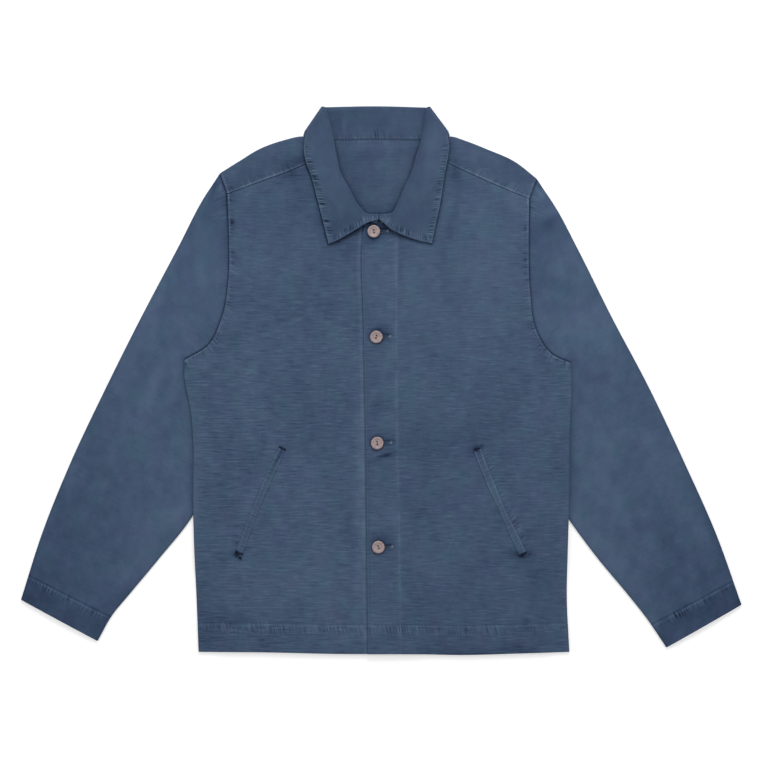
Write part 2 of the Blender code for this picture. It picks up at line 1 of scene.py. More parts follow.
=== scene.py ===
import bpy
import mathutils
import numpy as np
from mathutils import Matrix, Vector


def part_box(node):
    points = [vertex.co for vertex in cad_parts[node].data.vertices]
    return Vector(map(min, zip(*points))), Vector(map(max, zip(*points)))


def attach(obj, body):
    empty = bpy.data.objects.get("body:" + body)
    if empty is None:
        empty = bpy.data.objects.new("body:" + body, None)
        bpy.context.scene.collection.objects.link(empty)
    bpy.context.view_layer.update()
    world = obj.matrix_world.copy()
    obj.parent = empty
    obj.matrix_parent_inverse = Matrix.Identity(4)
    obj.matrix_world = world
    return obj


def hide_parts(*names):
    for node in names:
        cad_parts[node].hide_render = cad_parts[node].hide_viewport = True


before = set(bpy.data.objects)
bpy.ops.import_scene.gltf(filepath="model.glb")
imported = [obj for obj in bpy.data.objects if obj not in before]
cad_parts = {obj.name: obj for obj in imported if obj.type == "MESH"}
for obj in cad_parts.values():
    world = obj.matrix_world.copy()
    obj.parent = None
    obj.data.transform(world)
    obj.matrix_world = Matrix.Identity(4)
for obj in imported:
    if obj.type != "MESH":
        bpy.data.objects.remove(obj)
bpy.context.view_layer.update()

# A blue garment-dyed cotton jacket with four buttons, laid flat on its back.
# Metres, +X to the wearer's left, +Y from hem to collar, +Z up from the floor.
# Every cloth piece is a thin wall whose middle surface is worked out here, over the solid that it replaces.

mm = 0.001
hands = ("right", "left")  # the wearer's, right at -X
handSign = {"right": -1, "left": 1}  # side of an upward line on which the body lies, left of it being 1

# the layers of the solids, bottom to top
layers = {
    "cloth": 1.2 * mm,
    "gap": 0.3 * mm,
    "sleeveGap": 0.5 * mm,
    "loft": 1.6 * mm,
    "loftReach": 35 * mm,
    "loftMargin": 8 * mm,
    "collarCloth": 2.0 * mm,
    "riseReach": 60 * mm,
    "riseMargin": 10 * mm,
    "overlapReach": 45 * mm,
    "tuckFrom": 0.36,  # where the underarm goes below the body, as a share of the side
    "tuckTo": 0.47,  # and where it comes out, as a share of the sleeve's inner fold
}
layers["tuckRise"] = 2 * layers["cloth"] + layers["sleeveGap"] + 2 * layers["gap"]
layers["collarRise"] = layers["collarCloth"] + layers["gap"]

# Outlines in millimetres. Sides run hem to armpit, armholes armpit to shoulder, shoulders outside to neck,
# sleeves from the body to the cuff, necklines and collar lines from the centre front.
outline = {
    "hem": [(-256.2, -380.1), (-156.1, -380.8), (-58.1, -382.9), (53.9, -383.3), (109.9, -384.3),
            (193.9, -382.2), (263.2, -380.1)],
    "side": {
        "right": [(-256.2, -380.1), (-259, -307.3), (-262.5, -223.3), (-263.9, -167.3), (-263.9, -83.3),
                  (-268.8, -34.3), (-275.8, 0.7), (-276.5, 28.7)],
        "left": [(263.2, -380.1), (259.7, -307.3), (261.1, -223.3), (262.9, -167.3), (263.9, -69.3),
                 (266, -20.3), (266, 24.5)],
    },
    "armhole": {
        "right": [(-276.5, 28.7), (-242.9, 49.7), (-223.3, 90.3), (-214.9, 140.7), (-214.2, 203.7),
                  (-216.3, 261.1)],
        "left": [(266, 24.5), (238.7, 37.1), (217.7, 69.3), (208.6, 125.3), (206.5, 196.7), (207.2, 254.1)],
    },
    "shoulder": {
        "right": [(-226.1, 289.1), (-198.1, 306.6), (-170.1, 323.4), (-133.7, 336), (-115, 340.2),
                  (-99.5, 340.5)],
        "left": [(217.3, 281.4), (185.5, 305.9), (147.7, 322.7), (114.1, 335.5), (99, 340.2), (87.6, 340.5)],
    },
    "forwardSeam": {
        "right": [(-216.3, 261.1), (-170.1, 277.9), (-128.1, 293.3), (-92.5, 309)],
        "left": [(207.2, 254.1), (165.9, 270.9), (123.9, 289.8), (81, 309.5)],
    },
    "neckline": {
        "right": [(23.1, 223.3), (-3.5, 224), (-21.7, 227.5), (-44.1, 238.7), (-62.3, 256.9),
                  (-79.1, 283.5), (-92.5, 309)],
        "left": [(-23.8, 226.1), (-3.5, 224), (14.7, 227.5), (35.7, 241.5), (53.9, 259.7), (69.3, 283.5),
                 (81, 309.5)],
    },
    "centreEdge": {
        "right": [(23.1, -382.9), (23.1, 223.3)],
        "left": [(-18.9, -382.9), (-20.3, -251.3), (-21.7, -111.3), (-23.1, -27.3), (-25.2, 84.7),
                 (-27.3, 189.7), (-23.8, 226.1)],
    },
    "sleeveOuter": {
        "right": [(-226.1, 289.1), (-248.5, 255.5), (-283.5, 188.3), (-336.7, 87.5), (-387.1, -13.3),
                  (-434.7, -114.1), (-475.3, -214.9), (-504.7, -307.3)],
        "left": [(217.3, 281.4), (245.7, 238.7), (272.3, 188.3), (322.7, 87.5), (375.9, -13.3),
                 (423.5, -114.1), (468.3, -214.9), (504, -314.3)],
    },
    "sleeveInner": {
        "right": [(-276.5, 28.7), (-268, -15), (-250, -56), (-236, -98), (-237, -135), (-268.1, -193.9),
                  (-311.5, -248.5), (-353.5, -298.9), (-378.7, -329.7), (-398.3, -364.7)],
        "left": [(266, 24.5), (258, -19), (241, -60), (227, -101), (229, -139), (266.7, -199.5),
                 (303.1, -248.5), (345.1, -298.9), (371.7, -332.5), (399.7, -373.8)],
    },
    "collarNeck": {
        "right": [(-6, 219.5), (-23, 224), (-46, 235.5), (-65.8, 256.3), (-81.5, 285), (-91.4, 315),
                  (-93.1, 339.5)],
        "left": [(-1, 219.5), (16, 224), (35.2, 237.5), (53.5, 256.3), (69, 285), (78.5, 315), (81, 339.5)],
    },
    "collarRoll": {
        "right": [(-5.6, 221.2), (-24, 229.5), (-35, 246), (-46.2, 267), (-58.3, 288.9), (-63.3, 309.7),
                  (-67.6, 330.8), (-70.4, 347.6), (-79.8, 380)],
        "left": [(-1.4, 221.2), (16.5, 229.7), (24, 247), (32.3, 265.7), (44.1, 292.2), (50.5, 315),
                 (57.6, 337.5), (60.4, 353), (64, 379.5)],
    },
    "collarEdge": {
        "right": [(-74.1, 190.8), (-81.2, 219.1), (-89.6, 252.7), (-98, 284.9), (-106.4, 308.7),
                  (-108.5, 326.9), (-106.4, 341.2)],
        "left": [(70.7, 191.7), (75.6, 216.3), (81.9, 245.7), (87.5, 283.5), (92.1, 308.7), (94.5, 325.5),
                 (92.5, 341.2)],
    },
}


def smoothStep(t):
    # 0 below 0, 1 above 1, and 3 t^2 - 2 t^3 between
    t = np.clip(t, 0, 1)
    return t * t * (3 - 2 * t)


def bell(d, width):
    # exp(-(d / width)^2)
    return np.exp(-(d / width) ** 2)


def along(spots, at):
    # points at shares of the length of a smooth curve through the spots: cubic Hermite spans
    p = np.array(spots, float)
    t = runOf(p)
    t /= t[-1]
    slope = np.gradient(p, t, axis=0)
    at = np.asarray(at, float)
    i = np.clip(np.searchsorted(t, at, side="right") - 1, 0, len(t) - 2)
    h = (t[i + 1] - t[i])[:, None]
    s = (at - t[i])[:, None] / h
    return ((1 + 2 * s) * (1 - s) ** 2 * p[i] + s * (1 - s) ** 2 * h * slope[i]
            + s * s * (3 - 2 * s) * p[i + 1] + s * s * (s - 1) * h * slope[i + 1])


def alongSpots(spots, at):
    # points in metres at shares of a smooth curve through spots in millimetres
    return along(np.array(spots) * mm, at)


def fineLine(spots, count):
    # so many points, evenly along such a curve
    return alongSpots(spots, np.linspace(0, 1, count))


def edge(name, hand=None, steps=48):
    # one of the outlines as a fine line
    return fineLine(outline[name] if hand is None else outline[name][hand], steps + 1)


def runOf(path):
    # length from the start of a line to each of its points
    return np.concatenate([[0], np.cumsum(np.linalg.norm(np.diff(path, axis=0), axis=1))])


def onPath(path, at, run=None):
    # points of a line at lengths from its start, or the values kept along a line whose lengths are run
    run = runOf(path) if run is None else run
    return np.stack([np.interp(at, run, column) for column in path.T], -1)


def unit(rows):
    # each row divided by its own length
    return rows / np.linalg.norm(rows, axis=1)[:, None]


def leftOf(path):
    # directions to the left of a line at each of its points: its steps turned by a right angle
    step = unit(np.gradient(path, axis=0))
    return np.column_stack([-step[:, 1], step[:, 0]])


def offsetLine(path, by):
    # a line moved to its left
    return path + by * leftOf(path)


def nearLine(x, y, path, reach):
    # distance to a line, positive left of it, and length along it, for the points within reach of its box
    away, run = np.full(x.shape, np.inf), np.zeros(x.shape)
    low, high = path.min(0) - reach, path.max(0) + reach
    near = (x > low[0]) & (x < high[0]) & (y > low[1]) & (y < high[1])
    p = np.stack([x[near], y[near]], -1)[:, None]
    a, span = path[:-1], np.diff(path, axis=0)
    t = np.clip(((p - a) * span).sum(-1) / (span ** 2).sum(-1), 0, 1)
    off = p - a - t[..., None] * span
    d = np.linalg.norm(off, axis=-1)
    k = d.argmin(-1)
    row = np.arange(len(k))
    turn = span[k, 0] * off[row, k, 1] - span[k, 1] * off[row, k, 0]
    away[near] = np.where(turn < 0, -1, 1) * d[row, k]
    run[near] = runOf(path)[k] + t[row, k] * np.linalg.norm(span[k], axis=1)
    return away, run


def inside(x, y, ring):
    # whether each point is inside a closed ring: an odd number of crossings to its right
    a, b = ring, np.roll(ring, -1, 0)
    over = (a[:, 1] > y[..., None]) != (b[:, 1] > y[..., None])
    rise = np.where(b[:, 1] == a[:, 1], 1, b[:, 1] - a[:, 1])
    meets = a[:, 0] + (y[..., None] - a[:, 1]) * (b[:, 0] - a[:, 0]) / rise
    return (over & (x[..., None] < meets)).sum(-1) % 2 == 1


def waver(at, pitch, seed):
    # random levels from -1 to 1 every pitch, joined by smooth steps
    levels = np.random.default_rng(seed).uniform(-1, 1, 4096)
    at = np.asarray(at) / pitch
    knot = np.floor(at).astype(int)
    low, high = levels[knot % 4096], levels[(knot + 1) % 4096]
    return low + (high - low) * smoothStep(at - knot)


def lumps(x, y, size, seed):
    # broad unevenness of a height and two pitches
    return size[0] * patches(x, y, *size[1:], seed)


def sway(at, share, pitch, seed):
    # 1 and up to a share more or less, as waver goes
    return 1 + share * waver(at, pitch, seed)


def patches(x, y, pitchX, pitchY, seed):
    # as waver in two directions: random levels at the corners of cells
    levels = np.random.default_rng(seed).uniform(-1, 1, (128, 128))
    i, j = np.floor(x / pitchX).astype(int), np.floor(y / pitchY).astype(int)
    s, t = smoothStep(x / pitchX - i), smoothStep(y / pitchY - j)
    i0, i1, j0, j1 = i % 128, (i + 1) % 128, j % 128, (j + 1) % 128
    low = levels[i0, j0] * (1 - s) + levels[i1, j0] * s
    high = levels[i0, j1] * (1 - s) + levels[i1, j1] * s
    return low * (1 - t) + high * t


# a ring round each underarm where it lies below the body: up the side, then down the sleeve's inner fold
tuck = {}
for hand in hands:
    sideLine, innerLine = edge("side", hand), edge("sleeveInner", hand)
    share = np.linspace(0, 1, len(sideLine))
    tuck[hand] = np.concatenate([sideLine[share > layers["tuckFrom"]],
                                 innerLine[share < layers["tuckTo"]][1:]])
bodyFolds = [edge(name, hand) for name in ("side", "shoulder", "collarNeck") for hand in hands]
sleeveFolds = [edge(name, hand) for name in ("sleeveOuter", "sleeveInner") for hand in hands]
sleeveFolds += [ring[:-1] for ring in tuck.values()]
collarBackRing = np.array([(-90, 332.5), (-6, 330), (76, 332.5), (92.5, 341.2), (64, 379.5), (-76.4, 379.5),
                           (-106.4, 341.2)]) * mm


def distance(x, y, path):
    # distance to a line, on either side of it
    return np.abs(nearLine(x, y, path, 1.0)[0])


def insetFrom(x, y, folds):
    # distance to the nearest of several folds
    return np.min([distance(x, y, path) for path in folds], axis=0)


def riseOver(x, y, ring):
    # 1 over a ring and a margin round it, down to 0 over riseReach
    away = np.where(inside(x, y, ring), 0, distance(x, y, np.concatenate([ring, ring[:1]])))
    return 1 - smoothStep((away - layers["riseMargin"]) / layers["riseReach"])


def backBase(x, y):
    # underside of the back: up over both underarms and over the back of the collar
    tucks = np.maximum(riseOver(x, y, tuck["right"]), riseOver(x, y, tuck["left"]))
    return np.maximum(layers["tuckRise"] * tucks, layers["collarRise"] * riseOver(x, y, collarBackRing))


def loft(x, y, folds):
    # air under an upper layer, none along its folds
    return layers["loft"] * smoothStep((insetFrom(x, y, folds) - layers["loftMargin"]) / layers["loftReach"])


def frontBase(x, y, hand):
    # underside of a front: over the back, and the left one over the right one's edge as well
    z = backBase(x, y) + layers["cloth"] + layers["gap"] + loft(x, y, bodyFolds)
    if hand == "left":
        past = x - outline["centreEdge"]["right"][0][0] * mm - layers["loftMargin"]
        z = z + (layers["cloth"] + 2 * layers["gap"]) * (1 - smoothStep(past / layers["overlapReach"]))
    return z


def pucker(run, pitch, seed):
    # uneven pulls of a seam: small and larger ones together, in groups that come and go
    both = 0.75 * waver(run, pitch, seed) + 0.6 * waver(run, 2.7 * pitch, seed + 5)
    return both * sway(run, 0.7, 32 * mm, seed + 6)


# Reliefs are rows of height in metres and tone, from -1, darker, to 1, paler: partly uneven dye, partly
# painted shade in grooves, troughs and under edges and painted highlight on ridges. Those of seams and
# stitches also have the strength of their fine puckers and the length along the seam.


def layered(*parts):
    # heights and tones add up; the puckers of each point are those of its strongest seam
    every = np.stack([np.concatenate([part, np.zeros((4 - len(part), *part.shape[1:]))]) for part in parts])
    strongest = every[:, 2].argmax(0)[None]
    puckers = [np.take_along_axis(every[:, i], strongest, 0) for i in (2, 3)]
    return np.concatenate([every[:, :2].sum(0), *puckers])


pullTone = 0.3  # how much of a seam's pucker tone its pulls have themselves, beside the fine pleats


def seamRelief(x, y, path, look, side, seed):
    # across a seam: a groove in it, a ridge beside it, then uneven puckers square to it that fade out. Its
    # tone paints shade in the groove, makes the ridge paler with wear and painted highlight, and paints
    # light and shade over the puckers
    away, run = nearLine(x, y, path, 3 * look["reach"])
    d = np.minimum(side * away, 1)
    own = smoothStep((d + 0.5 * mm) / mm)
    groove = bell(d, look["grooveWidth"])
    ridge = bell(d - look["ridgeAt"], look["ridgeWidth"]) * sway(run, 0.6, 14 * mm, seed)
    slanted = run + look["slant"] * d
    pull = pucker(slanted, look["pitch"], seed + 1)
    reach = look["reach"] * sway(run, 0.35, 16 * mm, seed + 3)
    fade = smoothStep(d / look["ridgeAt"]) * bell(d, reach)
    height = own * (look["ridge"] * ridge + look["pucker"] * pull * fade) - look["groove"] * groove
    tone = own * (look["ridgeTone"] * ridge + pullTone * look["puckerTone"] * pull * fade)
    tone -= look["grooveTone"] * groove
    return np.array([height, tone, own * look["puckerTone"] * fade, slanted])


def rowRelief(away, run, look, seed):
    # across a row of topstitching: a shallow trough with painted shade, puckers that lean to one side of it
    # with painted light and shade, and a paler line
    pull = pucker(run + look["slant"] * away, look["pitch"], seed)
    fade = bell(away - look["lean"], look["reach"])
    groove = bell(away, look["grooveWidth"])
    paler = bell(away - look["edgeAt"], look["edgeWidth"]) * sway(run, 0.8, 9 * mm, seed + 2)
    height = look["pucker"] * pull * fade - look["groove"] * groove
    tone = pullTone * look["puckerTone"] * pull * fade - look["grooveTone"] * groove
    tone += look["edgeTone"] * paler
    return height, tone, look["puckerTone"] * (fade * sway(run, 0.6, 17 * mm, seed + 4))


def stitchRelief(x, y, path, look, seed):
    # the relief of a row of topstitching along a line
    away, run = nearLine(x, y, path, 3 * look["reach"])
    away = np.clip(away, -1, 1)
    return np.array([*rowRelief(away, run, look, seed), run + look["slant"] * away])


def fadeAndShadeTone(x, y, rows):
    # broad paler and darker places, partly faded dye and partly painted light and shade: an ellipse of a
    # bell each, turned by an angle
    tone = np.zeros(x.shape)
    for x0, y0, long, short, angle, shade in rows:
        c, s = np.cos(np.radians(angle)), np.sin(np.radians(angle))
        dx, dy = x - x0 * mm, y - y0 * mm
        ahead, across = (dx * c + dy * s) / (long * mm), (dy * c - dx * s) / (short * mm)
        tone += shade * np.exp(-ahead ** 2 - across ** 2)
    return tone


def creaseRelief(x, y, rows):
    # soft troughs and ridges: a bell across each crease's bowed line, fading to nothing at both ends. Its
    # tone
    # is painted light and shade: paler on the ridges, darker in the troughs
    height, tone = np.zeros(x.shape), np.zeros(x.shape)
    for x0, y0, x1, y1, bow, width, rise, shade in rows:
        start, end = np.array([x0, y0]) * mm, np.array([x1, y1]) * mm
        span = end - start
        middle = (start + end) / 2 + bow * mm * np.array([-span[1], span[0]]) / np.linalg.norm(span)
        path = along([start, middle, end], np.linspace(0, 1, 13))
        away, run = nearLine(x, y, path, 3 * width * mm)
        share = run / runOf(path)[-1]
        shape = bell(away, width * mm) * np.sin(np.pi * np.clip(share, 0, 1)) ** 0.7
        height += rise * mm * shape
        tone += shade * shape
    return np.array([height, tone])


def patch(bottom, top, left, right, u, v):
    # Coons patch: both blends of opposite edges, less the blend of the corners; rows v by columns u
    u, v = u[None, :, None], v[:, None, None]
    corners = ((1 - v) * ((1 - u) * bottom[0] + u * bottom[-1]) + v * ((1 - u) * top[0] + u * top[-1]))
    return (1 - v) * bottom[None] + v * top[None] + (1 - u) * left[:, None] + u * right[:, None] - corners


rim = {"rows": (0, 0.4 * mm, 1.1 * mm), "least": 0.35, "round": 1.1 * mm}  # how free edges are rounded


def shares(length, step):
    # even shares of a length from 0 to 1, with the rim's closer rows at both ends
    inner = np.linspace(rim["rows"][2], length - rim["rows"][2], round(length / step))
    ends = np.array(rim["rows"][:2])
    return np.concatenate([ends, inner, length - ends[::-1]]) / length


def rimWall(d):
    # share of the wall at a distance from a free edge: a quarter ellipse from the least share to 1
    t = np.clip(d / rim["round"], 0, 1)
    return rim["least"] + (1 - rim["least"]) * np.sqrt(1 - (1 - t) ** 2)


def gridFaces(rows, columns, closed=False):
    # quads of a grid numbered row by row; closed joins the last column to the first
    r, c = np.mgrid[0:rows - 1, 0:columns if closed else columns - 1]
    after = (c + 1) % columns
    return np.stack([r * columns + c, r * columns + after, (r + 1) * columns + after,
                     (r + 1) * columns + c], -1).reshape(-1, 4)


def facings(points, faces):
    # the direction of each quad, twice its area long: the cross product of its diagonals
    a, b, c, d = (points[faces[:, i]] for i in range(4))
    return np.cross(c - a, d - b)


def newObject(name, data):
    # an object of some data, in the scene
    made = bpy.data.objects.new(name, data)
    bpy.context.scene.collection.objects.link(made)
    return made


def clothWall(name, points, faces, wall, spread, shade, cornerSpread=None, behind=1):
    # both faces of a cloth: its middle surface moved half the wall each way along its normals, and a strip
    # round every open edge. spread is each point's place on the flat cloth, kept as the UV map "cloth", and
    # shade its tone, its seam's puckers and the length along that seam; the other face has behind of them
    count = len(points)
    facing = facings(points, faces)
    normal = [np.bincount(faces.ravel(), np.repeat(facing[:, i], 4), count) for i in range(3)]
    shift = unit(np.stack(normal, -1)) * (np.broadcast_to(wall, count) / 2)[:, None]
    starts, ends = faces.ravel(), np.roll(faces, -1, 1).ravel()
    isOpen = ~np.isin(starts * count + ends, ends * count + starts)
    s, e = starts[isOpen], ends[isOpen]
    strip = np.stack([e, s, s + count, e + count], -1)
    quads = np.concatenate([faces, faces[:, ::-1] + count, strip])
    corners = spread[faces] if cornerSpread is None else cornerSpread
    flat = np.concatenate([corners, corners[:, ::-1], spread[strip % count]])
    mesh = bpy.data.meshes.new(name)
    mesh.vertices.add(2 * count)
    mesh.vertices.foreach_set("co", np.concatenate([points + shift, points - shift]).astype("f").ravel())
    mesh.loops.add(quads.size)
    mesh.loops.foreach_set("vertex_index", quads.astype("i").ravel())
    mesh.polygons.add(len(quads))
    mesh.polygons.foreach_set("loop_start", np.arange(0, quads.size, 4, dtype="i"))
    mesh.polygons.foreach_set("loop_total", np.full(len(quads), 4, "i"))
    mesh.update(calc_edges=True)
    mesh.uv_layers.new(name="cloth").data.foreach_set("uv", flat.astype("f").ravel())
    for kind, values in zip(("tone", "seamPull", "seamRun"), np.clip(shade, -1, 8).reshape(3, -1)):
        mesh.attributes.new(kind, "FLOAT", "POINT").data.foreach_set(
            "value", np.concatenate([values, values * behind]).astype("f"))
    mesh.shade_smooth()
    mesh.validate()
    piece = newObject(name, mesh)
    print(name, len(quads) * 2, "triangles")
    return piece


def feed(tree, node, inputs):
    # the inputs of a node, by name or by number: numbers stay on the socket, sockets are linked
    for key, value in inputs.items():
        if isinstance(value, bpy.types.NodeSocket):
            tree.links.new(value, node.inputs[key])
        else:
            node.inputs[key].default_value = value


def addNode(tree, kind, settings=None, **inputs):
    # a node with its settings and its inputs; i0, i1 and so on are inputs by number
    node = tree.nodes.new(kind)
    for key, value in (settings or {}).items():
        setattr(node, key, value)
    byNumber = {key: int(key[1:]) for key in inputs if key[0] == "i" and key[1:].isdigit()}
    feed(tree, node, {byNumber.get(key, key): value for key, value in inputs.items()})
    return node


def calc(tree, kind, a, b=0.0, c=0.0):
    # an operation on one, two or three numbers
    return addNode(tree, "ShaderNodeMath", {"operation": kind}, i0=a, i1=b, i2=c).outputs[0]


def stretch(tree, spot, by):
    # a vector or a colour multiplied by another, part by part
    return addNode(tree, "ShaderNodeVectorMath", {"operation": "MULTIPLY"}, i0=spot, i1=by).outputs[0]


def ramped(tree, value, low, high, atLow=0.0, atHigh=1.0):
    # a level that goes from atLow to atHigh while the value goes from low to high
    ends = {"From Min": low, "From Max": high, "To Min": atLow, "To Max": atHigh}
    return addNode(tree, "ShaderNodeMapRange", Value=value, **ends).outputs[0]


def stretchedNoise(tree, place, scale, detail, rough=0.5):
    # noise whose features are 1 / scale metres long in each direction
    return addNode(tree, "ShaderNodeTexNoise", Vector=stretch(tree, place, scale), Scale=1.0, Detail=detail,
                   Roughness=rough).outputs[0]


def newMaterial(name):
    # a material with its nodes and its shader
    made = bpy.data.materials.new(name)
    made.use_nodes = True
    return made, made.node_tree, made.node_tree.nodes["Principled BSDF"]


cotton = {
    # noise: features for each metre across, along and up, then detail and roughness
    "slubs": ((46, 420, 1), 2.5, 0.6),  # thick places in the weft yarns: long thin streaks
    "weft": ((110, 1500, 1), 1.0),
    "warp": ((1100, 60, 1), 1.0),
    "clouds": ((13, 10, 13), 3.0, 0.6),
    "cloudlets": ((70, 52, 70), 3.0, 0.65),
    "drift": ((34, 26, 34), 3.0, 0.6),
    # levels of the slubs' noise from which pale and dark streaks begin and at which they are whole
    "paleFrom": (0.53, 0.70),
    "darkFrom": (0.46, 0.29),
    "paleTone": 0.29,
    "darkTone": 0.27,
    "warpShare": 0.5,
    "threadTone": (0.18, -0.135),  # a factor of a noise, and what brings its mean to nothing
    "cloudTone": (0.75, -0.375),
    "cloudletTone": (0.6, -0.3),
    "calmer": (0.02, 0.17, 1.0, 0.72),  # two heights up the jacket, and the slubs' strength at each
    # fine pleats, whose pale and dark bands are painted light and shade: how fast their noise drifts, goes
    # along a seam, and the wave of about four millimetres
    "pleatDrift": (60, 60, 60),
    "pleatRun": 330,
    "pleatWave": 1560,
    "pleatBend": 16,
    "waveTone": (0.32, 0.06),
    "noiseTone": (2.6, -1.3),
    "toneShare": (0.8, 1.0),  # how much of a piece's own tone counts, and the level of the plain dye
    "leastLevel": 0.1,
    # red falls faster than green where the dye is deep, and blue more slowly
    "redPower": 1.18,
    "bluePower": 0.76,
    # faint purple and teal drift
    "driftFrom": (0.34, 0.66),
    "purple": (1.08, 0.965, 1.03, 1),
    "teal": (0.93, 1.03, 0.985, 1),
    "roughness": (0.05, 0.86),  # the streaks' share of it, and the rest
    # plain weave, a half millimetre pitch, with the slubs and the pleats standing out of it
    "weave": {"Scale": 320.0, "Distortion": 1.5},
    "weaveHeight": 0.25,
    "slubHeight": 2.2,
    "pleatHeight": 5.0,
    "bump": {"Strength": 0.35, "Distance": 0.12 * mm},
    "shine": {"Sheen Weight": 0.06, "Sheen Roughness": 0.5, "Specular IOR Level": 0.25},
}
clothSockets = {
    "INPUT": {"Place": "Vector", "Around": "Vector", "Tone": "Float", "Pull": "Float", "Run": "Float",
              "Dye": "Color", "Slub": "Float", "Mottle": "Float"},
    "OUTPUT": {"Color": "Color", "Roughness": "Float", "Height": "Float"},
}


def buildClothGroup():
    # the dyed cotton's colour, roughness and height from its place on the flat cloth and its tone
    tree = bpy.data.node_groups.new("garmentDyedCotton", "ShaderNodeTree")
    for side, kinds in clothSockets.items():
        for name, kind in kinds.items():
            tree.interface.new_socket(name=name, in_out=side, socket_type="NodeSocket" + kind)
    given = tree.nodes.new("NodeGroupInput").outputs
    place, around = given["Place"], given["Around"]

    def times(a, b):
        return calc(tree, "MULTIPLY", a, b)

    def plus(a, b):
        return calc(tree, "ADD", a, b)

    def scaled(a, by, shift):
        return calc(tree, "MULTIPLY_ADD", a, by, shift)

    # yarns: streaks of the slubs and the finer threads, calmer further up
    slubs, weft, warp = (stretchedNoise(tree, place, *cotton[kind]) for kind in ("slubs", "weft", "warp"))
    pale = ramped(tree, slubs, *cotton["paleFrom"])
    dark = ramped(tree, slubs, *cotton["darkFrom"])
    streak = calc(tree, "SUBTRACT", times(pale, cotton["paleTone"]), times(dark, cotton["darkTone"]))
    threads = scaled(plus(weft, times(warp, cotton["warpShare"])), *cotton["threadTone"])
    up = addNode(tree, "ShaderNodeSeparateXYZ", Vector=around).outputs[1]
    strength = times(given["Slub"], ramped(tree, up, *cotton["calmer"]))
    slub = times(plus(streak, threads), strength)
    # uneven dye: broad clouds and small ones
    clouds = scaled(stretchedNoise(tree, around, *cotton["clouds"]), *cotton["cloudTone"])
    cloudlets = scaled(stretchedNoise(tree, around, *cotton["cloudlets"]), *cotton["cloudletTone"])
    dapple = times(plus(clouds, cloudlets), given["Mottle"])
    # fine pleats square to a seam: a wave along its run, bent by noise, and a second noise along the run; in
    # the colour they are painted light and shade, in the height a bump
    seamRun = addNode(tree, "ShaderNodeCombineXYZ", X=times(given["Run"], cotton["pleatRun"])).outputs[0]
    seamSpot = addNode(tree, "ShaderNodeVectorMath", {"operation": "ADD"}, i1=seamRun,
                       i0=stretch(tree, around, cotton["pleatDrift"])).outputs[0]
    uneven = addNode(tree, "ShaderNodeTexNoise", Vector=seamSpot, Scale=1.0, Detail=2.0, Roughness=0.55)
    bend = addNode(tree, "ShaderNodeTexNoise", Vector=seamSpot, Scale=0.3, Detail=1.0)
    turn = scaled(given["Run"], cotton["pleatWave"], times(bend.outputs[0], cotton["pleatBend"]))
    wave = scaled(calc(tree, "SINE", turn), *cotton["waveTone"])
    pleats = times(plus(wave, scaled(uneven.outputs[0], *cotton["noiseTone"])), given["Pull"])
    # all of them make one level, which deepens or pales the dye; the tone and the pleats bring painted light
    # and shade into it
    level = plus(plus(slub, dapple), scaled(given["Tone"], *cotton["toneShare"]))
    level = calc(tree, "MAXIMUM", plus(level, pleats), cotton["leastLevel"])
    red, blue = (calc(tree, "POWER", level, cotton[power]) for power in ("redPower", "bluePower"))
    levels = addNode(tree, "ShaderNodeCombineXYZ", X=red, Y=level, Z=blue).outputs[0]
    drift = ramped(tree, stretchedNoise(tree, around, *cotton["drift"]), *cotton["driftFrom"])
    tint = addNode(tree, "ShaderNodeMix", {"data_type": "RGBA"}, Factor=drift, i6=cotton["purple"],
                   i7=cotton["teal"]).outputs[2]
    colour = stretch(tree, stretch(tree, given["Dye"], levels), tint)
    across, down = (addNode(tree, "ShaderNodeTexWave", {"bands_direction": axis}, Vector=place,
                            **cotton["weave"]).outputs[1] for axis in "XY")
    weave = times(times(across, down), cotton["weaveHeight"])
    height = scaled(pleats, cotton["pleatHeight"], plus(weave, times(slub, cotton["slubHeight"])))
    feed(tree, tree.nodes.new("NodeGroupOutput"),
         {"Color": colour, "Roughness": scaled(streak, *cotton["roughness"]), "Height": height})
    return tree


clothGroup = buildClothGroup()


def clothMaterial(name, dye, slub, mottle):
    # the shader with the cotton group's colour, roughness and bump
    made, tree, shader = newMaterial(name)
    place = addNode(tree, "ShaderNodeUVMap", {"uv_map": "cloth"}).outputs[0]
    around = addNode(tree, "ShaderNodeTexCoord").outputs["Object"]
    tone, pull, run = (addNode(tree, "ShaderNodeAttribute", {"attribute_name": kind}).outputs["Fac"]
                       for kind in ("tone", "seamPull", "seamRun"))
    group = addNode(tree, "ShaderNodeGroup", {"node_tree": clothGroup}, Place=place, Around=around,
                    Tone=tone, Pull=pull, Run=run, Dye=(*dye, 1), Slub=slub, Mottle=mottle).outputs
    bump = addNode(tree, "ShaderNodeBump", Height=group["Height"], **cotton["bump"]).outputs[0]
    feed(tree, shader, {"Base Color": group["Color"], "Roughness": group["Roughness"], "Normal": bump})
    feed(tree, shader, cotton["shine"])
    return made


frontCotton = {hand: clothMaterial(hand + "FrontCotton", (0.0545, 0.0925, 0.161), slub, 0.8)
               for hand, slub in (("right", 1.24), ("left", 1.06))}
sleeveCotton = clothMaterial("sleeveCotton", (0.0555, 0.0945, 0.166), 0.3, 0.95)
collarCotton = clothMaterial("collarCotton", (0.0465, 0.0795, 0.142), 0.35, 0.9)
backCotton = clothMaterial("backCotton", (0.051, 0.0855, 0.151), 0.7, 0.9)
print("materials ready")


def wear(piece, material, node=None):
    # a piece's material, and its place in the record
    piece.data.materials.append(material)
    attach(piece, "root")
    if node:
        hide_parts(node)
    return piece


lengths = ("grooveWidth", "groove", "ridgeAt", "ridgeWidth", "ridge", "pitch", "pucker", "reach", "lean",
           "edgeAt", "edgeWidth")


def makeLook(like=None, **changes):
    # how a seam or a row of stitches looks: another look with changes, lengths in millimetres
    changes = {key: value * mm if key in lengths else value for key, value in changes.items()}
    return {**(like or {}), **changes}


